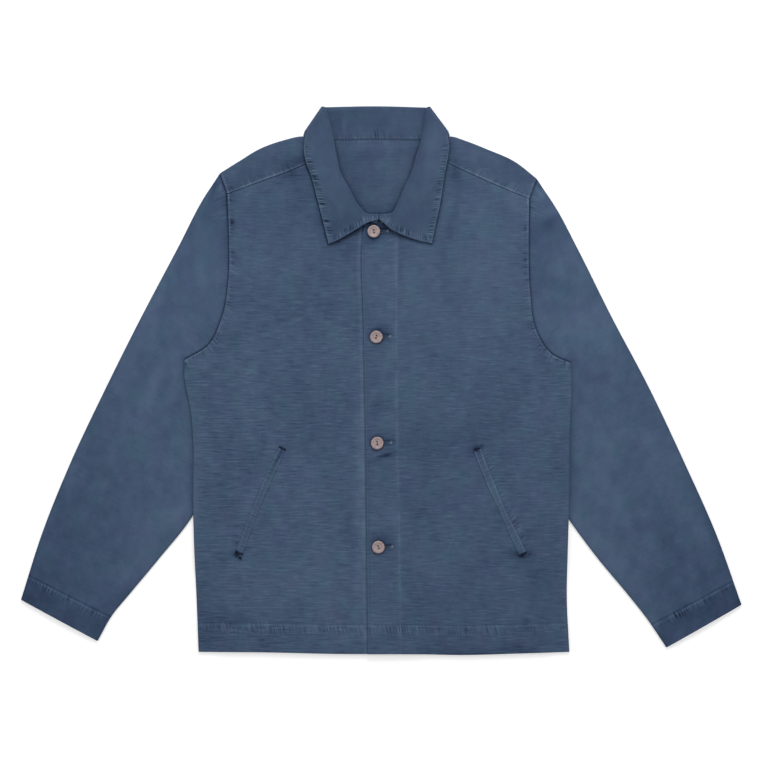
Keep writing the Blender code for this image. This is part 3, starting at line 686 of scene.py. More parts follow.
armholeLook = makeLook(grooveWidth=0.85, groove=0.5, ridgeAt=2.0, ridgeWidth=0.9, ridge=0.4, pitch=4.2,
                       slant=0.15, pucker=0.4, reach=7.5, ridgeTone=0.75, puckerTone=0.7, grooveTone=0.7)
sideSeamLook = makeLook(armholeLook, ridge=0.2, pucker=0.15, groove=0.5, grooveTone=0.3, ridgeTone=0.15,
                        puckerTone=0.12)
quietSeamLook = makeLook(armholeLook, ridge=0.1, pucker=0.12, ridgeTone=0.08, puckerTone=0.1,
                         grooveTone=0.3, groove=0.4)
hemLook = makeLook(grooveWidth=1.0, groove=0.35, pitch=6, slant=0.2, pucker=0.35, reach=7.5, lean=-6.5,
                   puckerTone=0.42, grooveTone=0.18, edgeTone=0.3, edgeAt=-1.6, edgeWidth=1.1)
placketLook = makeLook(hemLook, pucker=0.2, reach=8, lean=1, groove=0.2, grooveTone=0.06, edgeTone=0.32,
                       edgeAt=1.2, edgeWidth=2.4, puckerTone=0.2)

welt = {
    "cloth": 0.6 * mm,
    "width": 9.2 * mm,
    "columns": 9,
    "step": 1.6 * mm,
    "line": {
        "right": [(-138.5, -94.5), (-150, -118.5), (-168, -160), (-199.5, -241.5)],
        "left": [(133.7, -95.9), (147.7, -132.3), (164.5, -171.5), (198.1, -242.9)],
    },
    "lineTone": {"right": 0.34, "left": 0.55},
    "middleTone": {"right": -0.06, "left": 0.06},
    # broad paler and darker places, partly faded dye and partly painted light and shade
    "fadesAndShading": {
        "right": [(-143, -106, 18, 3.5, 62, -0.6), (-138, -94, 5, 3, 0, -0.5),
                  (-146, -122, 14, 2, 64, 0.3), (-172, -168, 14, 4, 66, 0.15)],
        "left": [(136, -97, 8, 4, -60, -0.45), (160, -160, 26, 4, -66, 0.12)],
    },
    "widthSway": 0.16,
    "loft": 0.3 * mm,
    "pucker": 0.15 * mm,
    "pull": 0.14,
    "lineAt": 0.86,  # the stitch lines along both edges, and their width, as shares of the half width
    "lineWidth": 0.22,
}
bartack = {
    "reach": (4.6 * mm, 5.6 * mm),  # half length of the bar at the top and at the bottom end
    "rows": 14,
    "out": 1.1 * mm,
    "in": 1.9 * mm,
    "height": 0.35 * mm,
    "radius": 0.32 * mm,
    # x and y of a knot of loose stitches, and its reach, in millimetres
    "knots": {"right": [(-202.5, -243, 5), (-198, -248.5, 3)],
              "left": [(197, -243.5, 4.5), (133, -96.5, 3.6)]},
    "knotStitches": 9,
    "knotSpread": 0.55,
    "knotLift": (1.2 * mm, 0.4 * mm),
    "knotRadius": 0.42 * mm,
}
besideWelt = makeLook(placketLook, edgeTone=0, grooveTone=0.1, grooveWidth=1)
weltLook = {
    "right": makeLook(besideWelt, pucker=0.2, puckerTone=0.18, lean=-5),
    "left": makeLook(besideWelt, pucker=0.4, puckerTone=0.5, lean=4.5, reach=4.5),
}

front = {
    "step": (2.1 * mm, 2.1 * mm),
    "hemDepth": 41 * mm,
    "hemThick": 0.5 * mm,
    "placketLine": [(18.9, 215), (18.9, 196.7), (18.9, -27.3), (20.3, -97.3), (21.7, -167.3),
                    (23.1, -251.3), (24.5, -328.3), (24.5, -384)],
    # broad paler and darker places, partly faded dye and partly painted light and shade: x and y of the
    # middle, long and short radius in millimetres, angle, tone
    "fadesAndShading": {
        "right": [(-86, 99, 60, 32, 10, -0.16), (-205, 85, 25, 18, 0, 0.12),
                  (-170, 220, 60, 40, 10, -0.12), (-247, -363, 26, 20, 0, -0.22),
                  (-51, -307, 60, 40, 90, 0.1), (-126, 290, 22, 12, 20, -0.42),
                  (-214, 262, 9, 8, 0, -0.3), (-203, -243, 18, 9, 30, -0.5), (-141, -96, 8, 7, 0, -0.3),
                  (-150, -150, 60, 30, 70, 0.08), (-92, 240, 48, 14, 105, -0.28),
                  (-216, 195, 55, 8, 90, -0.25), (-180, -160, 22, 6, 60, 0.2),
                  (-45, 190, 28, 15, 35, -0.24), (-196, -336, 18, 12, 0, -0.34),
                  (-30, -180, 140, 8, 90, 0.42), (-50, -365, 30, 12, 0, 0.15),
                  (-262, -168, 50, 14, 90, 0.28), (-235, -332, 30, 15, 0, -0.26),
                  (-120, -10, 40, 20, 20, -0.06), (-100, -170, 60, 40, 90, 0.1),
                  (-112, -270, 85, 55, 0, 0.17), (-118, 262, 34, 16, 100, -0.24),
                  (-66, 216, 15, 12, 0, -0.26), (-258, 30, 16, 12, 0, 0.2), (-202, -243, 6, 5, 0, -0.5),
                  (-203, -227, 2.5, 2, 0, -0.4), (-70, 120, 30, 20, 0, 0.08),
                  (-27, -132, 28, 7, 90, 0.18), (-145, 212, 20, 16, 0, 0.12)],
        "left": [(68, -97, 60, 34, 0, -0.16), (126, -84, 24, 15, 0, -0.12), (40, 141, 50, 28, 90, 0.12),
                 (138, 150, 60, 42, 60, 0.15), (96, 215, 60, 9, 75, -0.2), (229, -307, 44, 24, 80, -0.18),
                 (196, -243, 18, 7, -10, -0.5), (133, -96, 9, 7, 0, -0.4), (184, 257, 24, 13, 20, 0.2),
                 (210, -265, 20, 12, -40, -0.2), (215, 60, 34, 14, 110, -0.12), (62, 0, 80, 16, 90, 0.06),
                 (28, 175, 28, 5, 90, -0.22), (9, -104, 11, 3, 12, -0.8), (-4, -108, 12, 3, 20, -0.3),
                 (-3, 204, 18, 11, 20, -0.25), (145, 228, 20, 22, 0, 0.14), (68, 165, 46, 14, 90, 0.12),
                 (125, -18, 18, 20, 0, -0.2), (0, -33, 24, 13, 0, -0.24), (10, -92, 22, 10, 90, -0.2),
                 (165, -252, 46, 22, 10, -0.22), (150, -70, 110, 40, 0, -0.08),
                 (110, -302, 50, 24, 0, -0.12), (200, -322, 30, 13, 30, 0.14),
                 (130, -383, 65, 5, 0, -0.3), (15, -355, 18, 13, 90, -0.15), (192, -376, 30, 9, 0, -0.46),
                 (62, -376, 24, 9, 0, -0.14), (150, 75, 50, 34, 0, 0.18), (190, 240, 15, 20, 0, 0.26),
                 (104, 292, 26, 9, 90, -0.42), (36, 25, 22, 26, 0, 0.18), (214, -214, 20, 15, 0, -0.22),
                 (3, -218, 15, 13, 0, -0.24), (-3, 64, 15, 12, 0, -0.38), (-18, 197, 22, 11, 20, -0.44),
                 (4, -42, 16, 18, 0, -0.14), (196, -243, 6, 5, 0, -0.5), (134, -97, 6, 5, 0, -0.45),
                 (100, 170, 24, 20, 0, 0.1), (48, -62, 16, 12, 0, -0.14), (175, 272, 20, 12, 60, 0.1)],
    },
    # x and y of both ends, bow, width and rise in millimetres, tone
    "creases": {
        "right": [(-60, 150, -150, 40, 8, 14, 0.8, 0), (-230, -60, -120, -10, -6, 16, 0.7, 0),
                  (-200, 180, -120, 230, 5, 12, 0.6, 0), (-240, -180, -150, -130, 6, 15, -0.7, 0),
                  (-120, -260, -40, -330, -6, 16, 0.7, 0)],
        "left": [(70, 170, 170, 90, -8, 15, 0.7, 0), (230, 10, 120, 40, 6, 15, 0.7, 0),
                 (60, -40, 120, -130, 8, 14, -0.6, 0), (180, -260, 90, -330, 6, 16, 0.7, 0)],
    },
    "unevenness": (0.5 * mm, 60 * mm, 45 * mm),  # height, and pitches across and along
    "placketThick": 0.35 * mm,
    "placketTone": 0.05,
    "hemTone": -0.06,
    "seamCorner": 0.43,  # how far up the armhole the row of the neckline's corner ends
    # paler lines along the front edge, and on the lower front a painted shadow of the upper front's edge:
    # tone, distance from it and width
    "edgePale": {"right": (0.34, 3.6 * mm, 2.4 * mm), "left": (0.12, 1.6 * mm, 0.9 * mm)},
    "edgeShade": (0.08, 0.2 * mm, 0.8 * mm),
    # dents beside the armhole with painted shade in them, between two heights up the jacket
    "dent": {"pitch": 4.6 * mm, "at": 5.4 * mm, "width": 2.7 * mm, "depth": 0.3 * mm, "tone": 0.62,
             "from": 125 * mm, "rise": 25 * mm, "to": 240 * mm, "fall": 20 * mm},
    # painted shadow ring round each button, its tone and width, and darker marks beside it on the upper
    # front: tone, then x, y, half width and half height in millimetres from its middle
    "buttonRing": (0.65, 1.9 * mm),
    "buttonMarks": [(0.5, 14, 0, 7, 4), (0.5, 14, 3.8, 6, 1.1), (0.36, 4, 9, 15, 9)],
    "collarShade": 0.62,
}


def frontRelief(x, y, hand):
    # seams, hem and placket of a front, its creases, and broad unevenness
    side = handSign[hand]
    hemLine = edge("hem") + [0, front["hemDepth"]]
    outward = offsetLine(fineLine(welt["line"][hand], 50), side * (welt["width"] / 2 + 0.5 * mm))
    parts = [seamRelief(x, y, edge("armhole", hand), armholeLook, side, 11),
             seamRelief(x, y, edge("side", hand), sideSeamLook, side, 21),
             seamRelief(x, y, edge("forwardSeam", hand), quietSeamLook, side, 31),
             stitchRelief(x, y, hemLine, hemLook, 41), stitchRelief(x, y, outward, weltLook[hand], 45),
             creaseRelief(x, y, front["creases"][hand])]
    placket = fineLine(front["placketLine"], 60)
    if hand == "left":
        parts.append(stitchRelief(x, y, placket, placketLook, 51))
    total = layered(*parts)
    below = smoothStep((hemLine[:, 1].mean() - y) / (2 * mm))
    total[0] += front["hemThick"] * below
    # paler lines along the front edge, and on the lower front a painted shadow of the upper front's edge
    away, run = nearLine(x, y, edge("centreEdge", "left"), 30 * mm)
    away = np.clip(away, -1, 1)
    paler, palerAt, palerWidth = front["edgePale"][hand]
    if hand == "left":
        inward = np.clip(nearLine(x, y, placket, 60 * mm)[0], -0.06, 0.06)
        total[0] += front["placketThick"] * smoothStep((-inward + 1 * mm) / (3 * mm)) * (inward > -0.055)
        total[1] += front["placketTone"] * smoothStep(-inward / (2 * mm))
        total[1] += paler * bell(np.abs(away) - palerAt, palerWidth) * sway(run, 0.6, 12 * mm, 55)
    else:
        shade, shadeAt, shadeWidth = front["edgeShade"]
        total[1] += paler * bell(away - palerAt, palerWidth) * sway(run, 0.6, 12 * mm, 56)
        total[1] -= shade * bell(away - shadeAt, shadeWidth) * sway(run, 1, 40 * mm, 57)
    total[1] += front["hemTone"] * below
    total[1] += fadeAndShadeTone(x, y, front["fadesAndShading"][hand])
    # dents beside the armhole, with painted shade in them
    dent = front["dent"]
    away, run = nearLine(x, y, edge("armhole", hand), 20 * mm)
    dents = np.clip(waver(run, dent["pitch"], 71 + side) + 0.1, 0, 1)
    dents *= bell(np.minimum(side * away, 1) - dent["at"], dent["width"])
    dents *= smoothStep((y - dent["from"]) / dent["rise"]) * smoothStep((dent["to"] - y) / dent["fall"])
    total[0] -= dent["depth"] * dents
    total[1] -= dent["tone"] * dents
    # a painted shadow round each button, and darker marks beside it on the upper front
    ringTone, ringWidth = front["buttonRing"]
    for buttonX, buttonY in np.array(button["spots"]) * mm:
        right, up = x - buttonX, y - buttonY
        total[1] -= ringTone * bell(np.hypot(right, up) - button["radius"], ringWidth)
        if hand == "left":
            for tone, markX, markY, wide, tall in front["buttonMarks"]:
                total[1] -= tone * bell(right - markX * mm, wide * mm) * bell(up - markY * mm, tall * mm)
    # the painted shadow of the collar's leaves
    total[1] -= collarShade(x, y, front["collarShade"])
    total[0] += lumps(x, y, front["unevenness"], 61) * smoothStep(insetFrom(x, y, bodyFolds) / (30 * mm))
    return total


def leafEdge(hand, steps):
    # the edge of a leaf of the collar, from the centre front over its tip and along its outer edge
    return np.concatenate([fineLine(collar["shortEnd"][hand], 40), edge("collarEdge", hand, steps)[1:]])


def collarShade(x, y, depth):
    # a painted shadow: the dark line that the leaves of the collar throw on the cloth under their edges
    shade = np.zeros(x.shape)
    for hand in hands:
        away, run = nearLine(x, y, leafEdge(hand, 60), 20 * mm)
        under = bell(away, (2.1 + 0.6 * waver(run, 15 * mm, 71)) * mm) + 0.3 * bell(away, 6 * mm)
        shade = np.maximum(shade, depth * under)
    return shade


def frontMiddle(x, y, hand):
    # height of a front's middle surface, and its shade
    relief = frontRelief(x, y, hand)
    return frontBase(x, y, hand) + layers["cloth"] / 2 + relief[0], relief[1:]


def makeFront(hand):
    # a Coons patch between the hem, the forward seam, the side with the armhole, and the centre with the
    # neckline. Its rows join the armpit to the level centre, and the neckline's corner to the armhole
    side, opening = edge("side", hand, 120), edge("centreEdge", hand, 160)
    outer = np.concatenate([side, edge("armhole", hand, 120)[1:]])
    centre = np.concatenate([opening, edge("neckline", hand, 80)[1:]])
    outerRun, centreRun = runOf(outer), runOf(centre)
    armpit, neckCorner = runOf(side)[-1], runOf(opening)[-1]
    level = np.interp(side[-1, 1], opening[:, 1], runOf(opening))
    v = shares(outerRun[-1], front["step"][1])
    at = v * outerRun[-1]
    corner = armpit + front["seamCorner"] * (outerRun[-1] - armpit)
    match = np.interp(at, [0, armpit, corner, outerRun[-1]], [0, level, neckCorner, centreRun[-1]])
    left, right = onPath(outer, at), onPath(centre, match)
    u = shares(np.abs(left[0, 0] - right[0, 0]), front["step"][0])
    hemX = left[0, 0] + u * (right[0, 0] - left[0, 0])
    hemLine = edge("hem", steps=200)
    bottom = np.stack([hemX, np.interp(hemX, hemLine[:, 0], hemLine[:, 1])], -1)
    top = alongSpots(outline["forwardSeam"][hand], u) - [0, layers["gap"]]
    left[0], right[0], left[-1], right[-1] = bottom[0], bottom[-1], top[0], top[-1]
    plan = patch(bottom, top, left, right, u, v)
    x, y = plan[..., 0], plan[..., 1]
    z, shade = frontMiddle(x, y, hand)
    width = np.linalg.norm(right - left, axis=1)[:, None]
    inset = np.minimum(np.minimum(u, 1 - u)[None] * width, (np.minimum(v, 1 - v) * outerRun[-1])[:, None])
    wall = layers["cloth"] * rimWall(inset)
    points = np.dstack([x, y, z]).reshape(-1, 3)
    faces = gridFaces(*x.shape)
    piece = clothWall(hand + "FrontCloth", points, faces, wall.ravel(), points[:, :2], shade)
    wear(piece, frontCotton[hand], hand + "_front")
    return piece


sleeve = {
    "step": 2.2 * mm,
    "upperColumns": 84,
    "lowerColumns": 24,
    "openEdge": (0, 0.4 * mm, 1.1 * mm),  # closest columns at the armhole
    "foldEdge": (0.3 * mm, 0.9 * mm, 1.6 * mm),  # and beside a fold
    "fold": 1.7 * mm,  # distance from a fold at which the tube has its whole height
    "hemDepth": 38 * mm,
    "hemThick": 0.35 * mm,
    "turnIn": 0.9 * mm,  # how far the armhole's edge turns in under the body, and at what height
    "turnHeight": 1.35 * mm,
    "cuffShade": {"right": 0.2, "left": 0.3},
    "forearmShade": 0.16,
    "foldShade": 0.2,
    "headFrom": 200 * mm,  # above this height the head of the sleeve is gathered
    "hemRun": (0.9, 0.45),
    "unevenness": (0.5 * mm, 45 * mm, 55 * mm),
    "underarmAir": 1.2 * mm,
    # broad paler and darker places, partly faded dye and partly painted light and shade
    "fadesAndShading": {
        "right": [(-452, -223, 100, 42, 62, -0.3), (-282, -27, 75, 24, 80, 0.12),
                  (-338, -209, 60, 22, 55, 0.14), (-247, 183, 60, 16, 62, 0.12),
                  (-280, -25, 28, 9, 80, -0.22), (-322, -15, 36, 11, 72, 0.3),
                  (-232, 240, 22, 10, 50, -0.18), (-310, 140, 42, 10, 62, 0.25),
                  (-390, -150, 50, 14, 60, 0.08), (-370, -130, 36, 18, 70, -0.24),
                  (-435, -190, 44, 22, 62, 0.2), (-285, -185, 42, 20, 40, 0.26),
                  (-362, -272, 34, 16, 30, 0.3), (-395, -335, 22, 15, 60, -0.25),
                  (-216, 195, 55, 7, 90, -0.3), (-285, 40, 20, 14, 0, 0.1),
                  (-398, -284, 26, 17, 60, -0.18), (-234, 262, 26, 11, 62, -0.2),
                  (-225, 274, 9, 1.6, 80, 0.35), (-242, 262, 15, 2, 70, 0.25),
                  (-234, 268, 11, 1.6, 74, -0.25), (-230, 214, 20, 13, 90, -0.34),
                  (-316, 112, 55, 10, 62, 0.14), (-318, -18, 26, 9, 80, 0.1), (-325, 66, 50, 14, 62, 0.1),
                  (-228, 70, 22, 10, 70, -0.16), (-392, -68, 16, 14, 0, -0.12),
                  (-306, -76, 12, 10, 0, -0.12)],
        "left": [(292, 85, 55, 28, 20, 0.26), (233, 216, 16, 11, 20, -0.4), (222, 262, 13, 8, 60, 0.32),
                 (253, 165, 36, 15, 60, 0.2), (250, 130, 26, 9, -30, -0.16),
                 (292, -69, 75, 16, -70, 0.24), (362, -60, 60, 14, -62, 0.3),
                 (334, -27, 44, 14, -60, -0.14), (330, -170, 50, 18, -60, 0.14),
                 (212, 205, 22, 18, 0, -0.16), (238, 238, 12, 13, 0, 0.2), (288, 148, 26, 12, -62, 0.25),
                 (302, 54, 34, 18, -40, 0.24), (281, -115, 30, 10, -72, 0.28),
                 (322, -255, 95, 20, -50, 0.42), (410, -238, 42, 28, -60, -0.24),
                 (485, -262, 60, 12, -65, 0.1), (425, -325, 30, 15, 20, -0.18),
                 (276, -28, 20, 9, -80, -0.36), (400, -150, 40, 16, -62, 0.14),
                 (285, 0, 20, 8, -75, -0.1), (454, -184, 95, 9, -68, -0.34),
                 (402, -294, 26, 16, -20, -0.22), (382, -338, 16, 8, -50, 0.38),
                 (384, -32, 24, 11, -62, 0.22), (320, -20, 20, 12, -62, 0.12),
                 (250, 232, 14, 6, 35, -0.3), (340, -18, 11, 14, 0, -0.12), (322, -96, 28, 14, -62, 0.12),
                 (332, -222, 20, 14, 0, 0.12), (386, -262, 20, 11, -60, -0.14)],
    },
    "creases": {
        "right": [(-330, 60, -290, 0, 6, 12, 0.7, 0.03), (-380, -60, -300, -90, 8, 14, 0.7, 0.03),
                  (-440, -180, -350, -210, -6, 12, -0.6, -0.03),
                  (-470, -250, -400, -300, 6, 12, 0.5, 0.02)],
        "left": [(330, 50, 290, -10, -6, 12, 0.7, 0.03), (380, -70, 300, -100, -8, 14, 0.7, 0.03),
                 (440, -180, 350, -220, 6, 12, -0.6, -0.03), (470, -250, 400, -300, -6, 12, 0.5, 0.02)],
    },
}
sleeveSeamLook = makeLook(armholeLook, ridge=0.15, ridgeAt=3, pucker=0.35, pitch=6, reach=10,
                          ridgeTone=0.0, puckerTone=0.14, grooveTone=0.5, grooveWidth=2.2)
headLook = makeLook(sleeveSeamLook, pucker=0.7, pitch=6, reach=17, puckerTone=0.42, slant=0.3)
cuffLook = makeLook(hemLook, reach=5.5, lean=4.5, puckerTone=0.5, edgeTone=0.36, edgeAt=1.9,
                    grooveTone=0.6, grooveWidth=1.0)


def bodyEnd(hand):
    # the line between the body and a sleeve: the armhole, and the yoke's end up to the shoulder fold
    tip = np.array(outline["shoulder"][hand][0]) * mm
    return np.concatenate([edge("armhole", hand, 120), [tip]])


def sleeveLines(hand):
    # the line a sleeve follows on the inside, down the armhole and then its inner fold, the outer fold, the
    # run at which the armhole ends, and the direction in to the body along the inside
    armhole = edge("armhole", hand, 160)[::-1]
    tip = np.array(outline["shoulder"][hand][0]) * mm
    slope = np.gradient(np.concatenate([[tip], armhole]), axis=0)
    away = np.column_stack([slope[:, 1], -slope[:, 0]]) * -handSign[hand]
    away *= 2 * layers["gap"] / np.linalg.norm(away, axis=1)[:, None]
    armhole = armhole + away[1:]
    inner = np.concatenate([armhole, edge("sleeveInner", hand, 300)[1:]])
    outer = edge("sleeveOuter", hand, 300)
    outer = outer + away[0] * (1 - smoothStep(runOf(outer) / (20 * mm)))[:, None]
    toBody = -np.concatenate([away[1:], np.broadcast_to(away[-1], (len(inner) - len(armhole), 2))])
    return inner, outer, runOf(armhole)[-1], toBody / (2 * layers["gap"])


def sleeveRelief(x, y, hand, cuffRun):
    # seam at the armhole with its gathers, cuff hem, creases and unevenness; cuffRun is the way to the cuff
    head = seamRelief(x, y, bodyEnd(hand), headLook, -handSign[hand], 76)
    head[:3] *= smoothStep((y - sleeve["headFrom"]) / (50 * mm))
    total = layered(seamRelief(x, y, bodyEnd(hand), sleeveSeamLook, -handSign[hand], 71), head,
                    hemRelief(x, y, cuffRun, hand), creaseRelief(x, y, sleeve["creases"][hand]))
    # painted shade: darker over the cuff and down the forearm towards it
    total[1] -= sleeve["cuffShade"][hand] * smoothStep((sleeve["hemDepth"] + 2 * mm - cuffRun) / (8 * mm))
    total[1] -= sleeve["forearmShade"] * smoothStep((150 * mm - cuffRun) / (120 * mm))
    total[1] += fadeAndShadeTone(x, y, sleeve["fadesAndShading"][hand])
    total[0] += sleeve["hemThick"] * smoothStep((sleeve["hemDepth"] - cuffRun) / (2 * mm))
    total[0] += lumps(x, y, sleeve["unevenness"], 91) * smoothStep(cuffRun / (30 * mm))
    return total


def hemRelief(x, y, cuffRun, hand):
    # the stitch row of a cuff's hem, from the way of each point to the cuff; its run goes across the sleeve
    run = x * sleeve["hemRun"][0] + handSign[hand] * y * sleeve["hemRun"][1]
    return np.array([*rowRelief(sleeve["hemDepth"] - cuffRun, run, cuffLook, 81), run])


def roundFold(d):
    # share of the half height at a distance from a fold: a quarter ellipse
    t = np.clip(d / sleeve["fold"], 0, 1)
    return np.sqrt(1 - (1 - t) ** 2)


def makeSleeve(hand):
    # a flattened tube: rings from the outer fold over the upper cloth to the armhole or the inner fold, and
    # back under it. Its columns keep set distances beside the folds and share the rest evenly
    inner, outer, armpit, toBody = sleeveLines(hand)
    length = runOf(inner)[-1]
    v = shares(length, sleeve["step"])
    v = np.concatenate([v[:1], v])  # the first row is turned in under the shoulder
    run = v * length
    innerAt, outerAt = onPath(inner, run), onPath(outer, v * runOf(outer)[-1])
    width = np.linalg.norm(innerAt - outerAt, axis=1)
    closed = smoothStep((run - armpit) / (4 * mm))
    openEdge, foldEdge = np.array(sleeve["openEdge"])[::-1], np.array(sleeve["foldEdge"])

    def columns(count):
        # distances from the outer fold, for every ring
        last = openEdge + closed[:, None] * (foldEdge[::-1] - openEdge)
        start = np.broadcast_to(foldEdge, (len(run), 3))
        room = width - foldEdge[-1] - last[:, 0]
        middle = foldEdge[-1] + room[:, None] * np.linspace(0, 1, count + 2)[None, 1:-1]
        return np.concatenate([start, middle, width[:, None] - last], axis=1)

    height = 2 * layers["cloth"] + layers["sleeveGap"]
    sheets = []
    for upper in (True, False):
        d = columns(sleeve["upperColumns"] if upper else sleeve["lowerColumns"])
        share = (d / width[:, None])[..., None]
        plan = (1 - share) * outerAt[:, None] + share * innerAt[:, None]
        x, y = plan[..., 0], plan[..., 1]
        cuffRun = np.broadcast_to((length - run)[:, None], x.shape)
        shape = roundFold(d) * (1 - closed[:, None] * (1 - roundFold(width[:, None] - d)))
        shade = np.zeros((3, *x.shape))
        level = np.full(x.shape, layers["cloth"] / 2)
        if upper:
            tucked = inside(x, y, tuck[hand])
            free = np.where(tucked, 0, smoothStep(distance(x, y, tuck[hand]) / (8 * mm)))
            relief = sleeveRelief(x, y, hand, cuffRun)
            fromFolds = np.minimum(d, width[:, None] - d + 1 - closed[:, None])
            step = smoothStep((distance(x, y, tuck[hand]) - 1.5 * mm) / (8 * mm))
            step *= smoothStep(fromFolds / (20 * mm))
            air = np.maximum(loft(x, y, sleeveFolds), sleeve["underarmAir"] * step) * ~tucked
            level = height - layers["cloth"] / 2 + air + relief[0] * free
            shade[:] = relief[1] * free, relief[2] * free, relief[3]
            # painted shade beside the folds, where the tube turns under
            besideFolds = bell(d, 2 * mm) + closed[:, None] * bell(width[:, None] - d, 2 * mm)
            shade[0] -= sleeve["foldShade"] * besideFolds
        z = height / 2 + (level - height / 2) * shape
        fromOpen = np.where(closed[:, None] > 0, 1, width[:, None] - d)
        wall = layers["cloth"] * rimWall(cuffRun) * rimWall(fromOpen)
        sheets.append((np.dstack([x, y, z]), shade, wall, d))
    (top, topShade, topWall, topD), (low, lowShade, lowWall, lowD) = sheets
    turned = innerAt + (sleeve["turnIn"] * (1 - closed))[:, None] * onPath(toBody, run, runOf(inner))
    turnedHeight = sleeve["turnHeight"] + (height / 2 - sleeve["turnHeight"]) * closed
    folds = [np.column_stack([outerAt, np.full(len(run), height / 2)])[:, None],
             np.column_stack([turned, turnedHeight])[:, None]]
    foldWall = layers["cloth"] * rimWall((length - run)[:, None])
    turnedWall = foldWall * (rim["least"] + (1 - rim["least"]) * closed)[:, None]
    ring = np.concatenate([folds[0], top, folds[1], low[:, ::-1]], axis=1)
    upper = np.arange(ring.shape[1]) < top.shape[1] + 2
    ring[0, :, :2] += np.where(upper, 1, 0.4)[:, None] * sleeve["turnIn"] * toBody[0]
    ring[0, :, 2] = np.where(upper, np.minimum(ring[0, :, 2], sleeve["turnHeight"]), ring[0, :, 2])
    blank = np.zeros((3, len(run), 1))
    shade = np.concatenate([blank, topShade, blank, lowShade[:, :, ::-1]], axis=2)
    wall = np.concatenate([foldWall, topWall, turnedWall, lowWall[:, ::-1]], axis=1)
    wide = width[:, None]
    flatAcross = np.concatenate([0 * wide, topD, wide, (2 * wide - lowD)[:, ::-1]], axis=1)
    flatRun = np.concatenate([[-sleeve["turnIn"]], run[1:]])[:, None]
    flat = np.dstack([flatAcross, np.broadcast_to(-flatRun, flatAcross.shape)]).reshape(-1, 2)
    rows, count = flatAcross.shape
    faces = gridFaces(rows, count, closed=True).reshape(rows - 1, count, 4)
    across = top.shape[1]
    shut = np.ones(faces.shape[:2], bool)
    shut[closed[1:] == 0, across + 1] = False
    cornerPlace = flat[faces]
    cornerPlace[:, -1, 1:3, 0] += 2 * width[0]
    faces, cornerPlace = faces[shut], cornerPlace[shut]
    points = ring.reshape(-1, 3)
    piece = clothWall(hand + "SleeveCloth", points, faces, wall.ravel(), flat, shade, cornerPlace)
    wear(piece, sleeveCotton, hand + "_sleeve")
    return piece


back = {
    "rowStep": 5.2 * mm,
    "topFrom": 205 * mm,  # from here up the rows are closer, because the neck shows
    "topStep": 2.2 * mm,
    "shoulderColumns": 60,
    "neckColumns": 88,
    "shoulderShare": 0.3,
    "foldRows": 8,
    "stripStep": 1.8 * mm,
    "neckHeight": 341 * mm,
    # broad paler and darker places, partly faded dye and partly painted light and shade
    "fadesAndShading": [(-6, 329, 60, 3, 0, 0.1), (-10, 314, 50, 7, 4, -0.14), (-6, 236, 30, 12, 0, -0.2),
              (-35, 300, 20, 12, 60, -0.08), (25, 300, 30, 10, 70, 0.06), (-30, 262, 16, 10, 110, -0.1)],
    "yokeFadesAndShading": {
        "right": [(-118, 304, 26, 14, 20, -0.6), (-214, 268, 9, 7, 0, -0.3), (-180, 285, 40, 12, 22, -0.16)],
        "left": [(112, 303, 18, 8, -20, -0.25), (188, 266, 16, 9, 0, 0.15), (150, 316, 38, 7, -20, 0.16),
                 (102, 300, 9, 18, 0, -0.3), (100, 325, 8, 14, 0, -0.22), (214, 283, 9, 6, -45, -0.3)],
    },
    "creases": [(-20, 330, -24, 262, 3, 5, 0.5, 0.05), (14, 332, 10, 290, -3, 5, 0.4, 0.05),
                (-50, 300, -20, 250, 4, 8, -0.5, -0.05)],
    "stripLength": 130 * mm,  # about how long a shoulder is, for the closer columns at its outer end
    "neckSeam": [(-95, 337.4), (80, 337.4)],
    "neckMiddle": -6 * mm,  # the neck shows this far to both sides of its middle, and from this height up
    "neckReach": 100 * mm,
    "neckFrom": 200 * mm,
    # the collar's roll throws a painted shadow on the back
    "rollShade": (0.6, 1.2 * mm, 3.2 * mm),  # dark line inside the collar's roll: tone, distance, width
    "unevenness": (0.35 * mm, 24 * mm, 30 * mm),
    "floorSmooth": 0.2 * mm,
    "stripUnevenness": (0.3 * mm, 18 * mm, 12 * mm),
    "collarShade": 0.45,
    "flatSize": (0.54, 0.79),
}
yokeLook = makeLook(armholeLook, ridgeAt=1.9, ridge=0.3, pucker=0.45, reach=6.5, ridgeTone=1.0,
                    puckerTone=0.6, grooveTone=0.4)
yokeEndLook = makeLook(armholeLook, ridgeTone=0.45, puckerTone=0.4)
neckSeamLook = makeLook(armholeLook, ridge=0.1, pucker=0.3, reach=8, groove=0.1, ridgeTone=0.3,
                        puckerTone=0.24, grooveTone=0.05)


